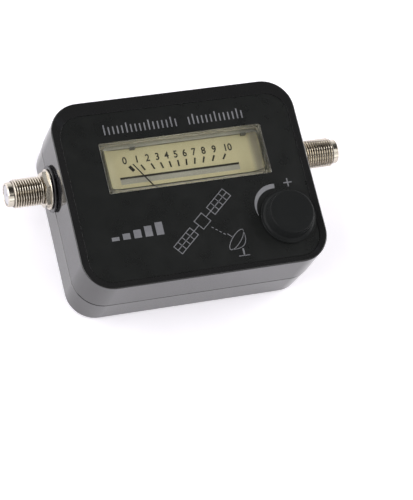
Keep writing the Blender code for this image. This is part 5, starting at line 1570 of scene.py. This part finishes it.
set_on_board("disc_capacitor", DISC_PLACES, "ferrite", disc_capacitor)
set_on_board("transistor", TRANSISTOR_PLACES, "dark_plastic", transistor)

# %% [markdown]
# ## Table
# The meter lies on a white light table: one large flat sheet with a fine grain that glows a little by
# itself. It reads as pure white, and the black case shows mostly what the table sends back. Seen from
# below it would hide the meter, so its underside is see-through: the Backfacing output of a Geometry node
# tells the two sides of a sheet apart. It lies a hair under the meter, because two faces in one plane
# flicker.

# %% Lay the table
TABLE_HALF = 3.0
TABLE_GAP = 0.00004
TABLE_GRAIN_PER_METRE = 2000
TABLE_GLOW = 0.37
TABLE_GLOW_COLOR = (0.98, 0.95, 1.0, 1.0)

sheet_finish = worked_finish("table", (0.87, 0.85, 0.89), (0.91, 0.89, 0.93), (0.55, 0.70), dusty=0.0,
                             grains=TABLE_GRAIN_PER_METRE)
shader_of(sheet_finish).inputs["Emission Color"].default_value = TABLE_GLOW_COLOR
shader_of(sheet_finish).inputs["Emission Strength"].default_value = TABLE_GLOW
sheet = bmesh.new()
bmesh.ops.create_grid(sheet, x_segments=8, y_segments=8, size=TABLE_HALF)
table = bpy.data.objects.new("table", to_mesh(sheet, "table"))
scene.collection.objects.link(table)
table.data.materials.append(sheet_finish)
table.location.z = cad_low.z - TABLE_GAP

# %% Make the table's underside see-through
tree = sheet_finish.node_tree
underside = add_node(tree, "NewGeometry", {}).outputs["Backfacing"]
split_shader(sheet_finish, underside, add_node(tree, "BsdfTransparent", {}))
print("the table lies", round(-1000 * table.location.z, 2), "mm under the meter's back")

# %% [markdown]
# ## Light
# The face must stay dark, so nothing bright may stand where it mirrors the camera's view, high on the far
# side. Four soft boxes stand low round the table, strong enough to burn the white table out, and the room
# is pale low down and dark overhead, which gives the nickel its bright and dark bands. A small box over the
# right-hand socket gives its thread a white streak and the knob's near edge a fine bright arc. Where the
# camera looks past the table straight at the room, a Light Path node gives it a plain pale backdrop instead.

# %% Soft boxes
# Each row gives the direction, the distance, the size, the power and the point that the box looks at.
FACE_MIRROR = Vector((0.30, 0.32, 0.90)).normalized()
SOFT_BOXES = {"left_soft_box": ((-0.80, 0.12, 0.60), 1.3, 1.2, 14.5, (0, 0, 0)),
              "right_soft_box": ((0.90, 0.12, 0.40), 1.3, 1.2, 16, (0, 0, 0)),
              "back_soft_box": ((-0.45, 0.85, 0.43), 1.3, 1.0, 6, (0, 0, 0)),
              "front_soft_box": ((0.30, -0.78, 0.55), 1.3, 0.9, 2.5, (0, 0, 0)),
              "small_soft_box": ((0.30, -0.26, 0.92), 0.5, 0.22, 0.22, (0.048, 0, 0.015))}

for name, (direction, distance, size, power, over) in SOFT_BOXES.items():
    light = bpy.data.lights.new(name, "AREA")
    light.shape = "SQUARE"
    light.size = size
    light.energy = power
    holder = bpy.data.objects.new(name, light)
    scene.collection.objects.link(holder)
    way = Vector(direction).normalized()
    holder.location = Vector(over) + way * distance
    holder.rotation_euler = (-way).to_track_quat("-Z", "Y").to_euler()
    off_mirror = round(math.degrees(way.angle(FACE_MIRROR)))
    print(name, "stands", off_mirror, "degrees off the face's mirror direction")

# %% Room
ROOM_SHADES = ((0.0, 0.9), (0.3, 0.9), (0.5, 0.4), (0.65, 0.05), (1.0, 0.04))
world = bpy.data.worlds.new("room")
scene.world = world
world.use_nodes = True
room = world.node_tree
upward = parts_of(room, add_node(room, "TexCoord", {}).outputs["Generated"])
shades = add_node(room, "FloatCurve", {"Value": upward["Z"]})
brightest = max(shade for height, shade in ROOM_SHADES)
curve = shades.mapping.curves[0]
for (height, shade), point in zip((ROOM_SHADES[0], ROOM_SHADES[-1]), (curve.points[0], curve.points[-1])):
    point.location = (height, shade / brightest)
for height, shade in ROOM_SHADES[1:-1]:
    curve.points.new(height, shade / brightest)
shades.mapping.update()
lit = room.nodes["Background"]
feed(room, lit.inputs["Color"], shades.outputs["Value"])
feed(room, lit.inputs["Strength"], brightest)

# %% Backdrop
BACKDROP_SHADE = 1.0
backdrop = add_node(room, "Background", {"Color": (BACKDROP_SHADE, BACKDROP_SHADE, BACKDROP_SHADE)})
camera_ray = add_node(room, "LightPath", {}).outputs["Is Camera Ray"]
shown = add_node(room, "MixShader", {"Fac": camera_ray, 1: lit.outputs["Background"],
                                     2: backdrop.outputs["Background"]})
feed(room, room.nodes["World Output"].inputs["Surface"], shown.outputs["Shader"])
print("the backdrop's shade is", BACKDROP_SHADE, "and the room's brightest", brightest)
scene.view_settings.view_transform = "Standard"
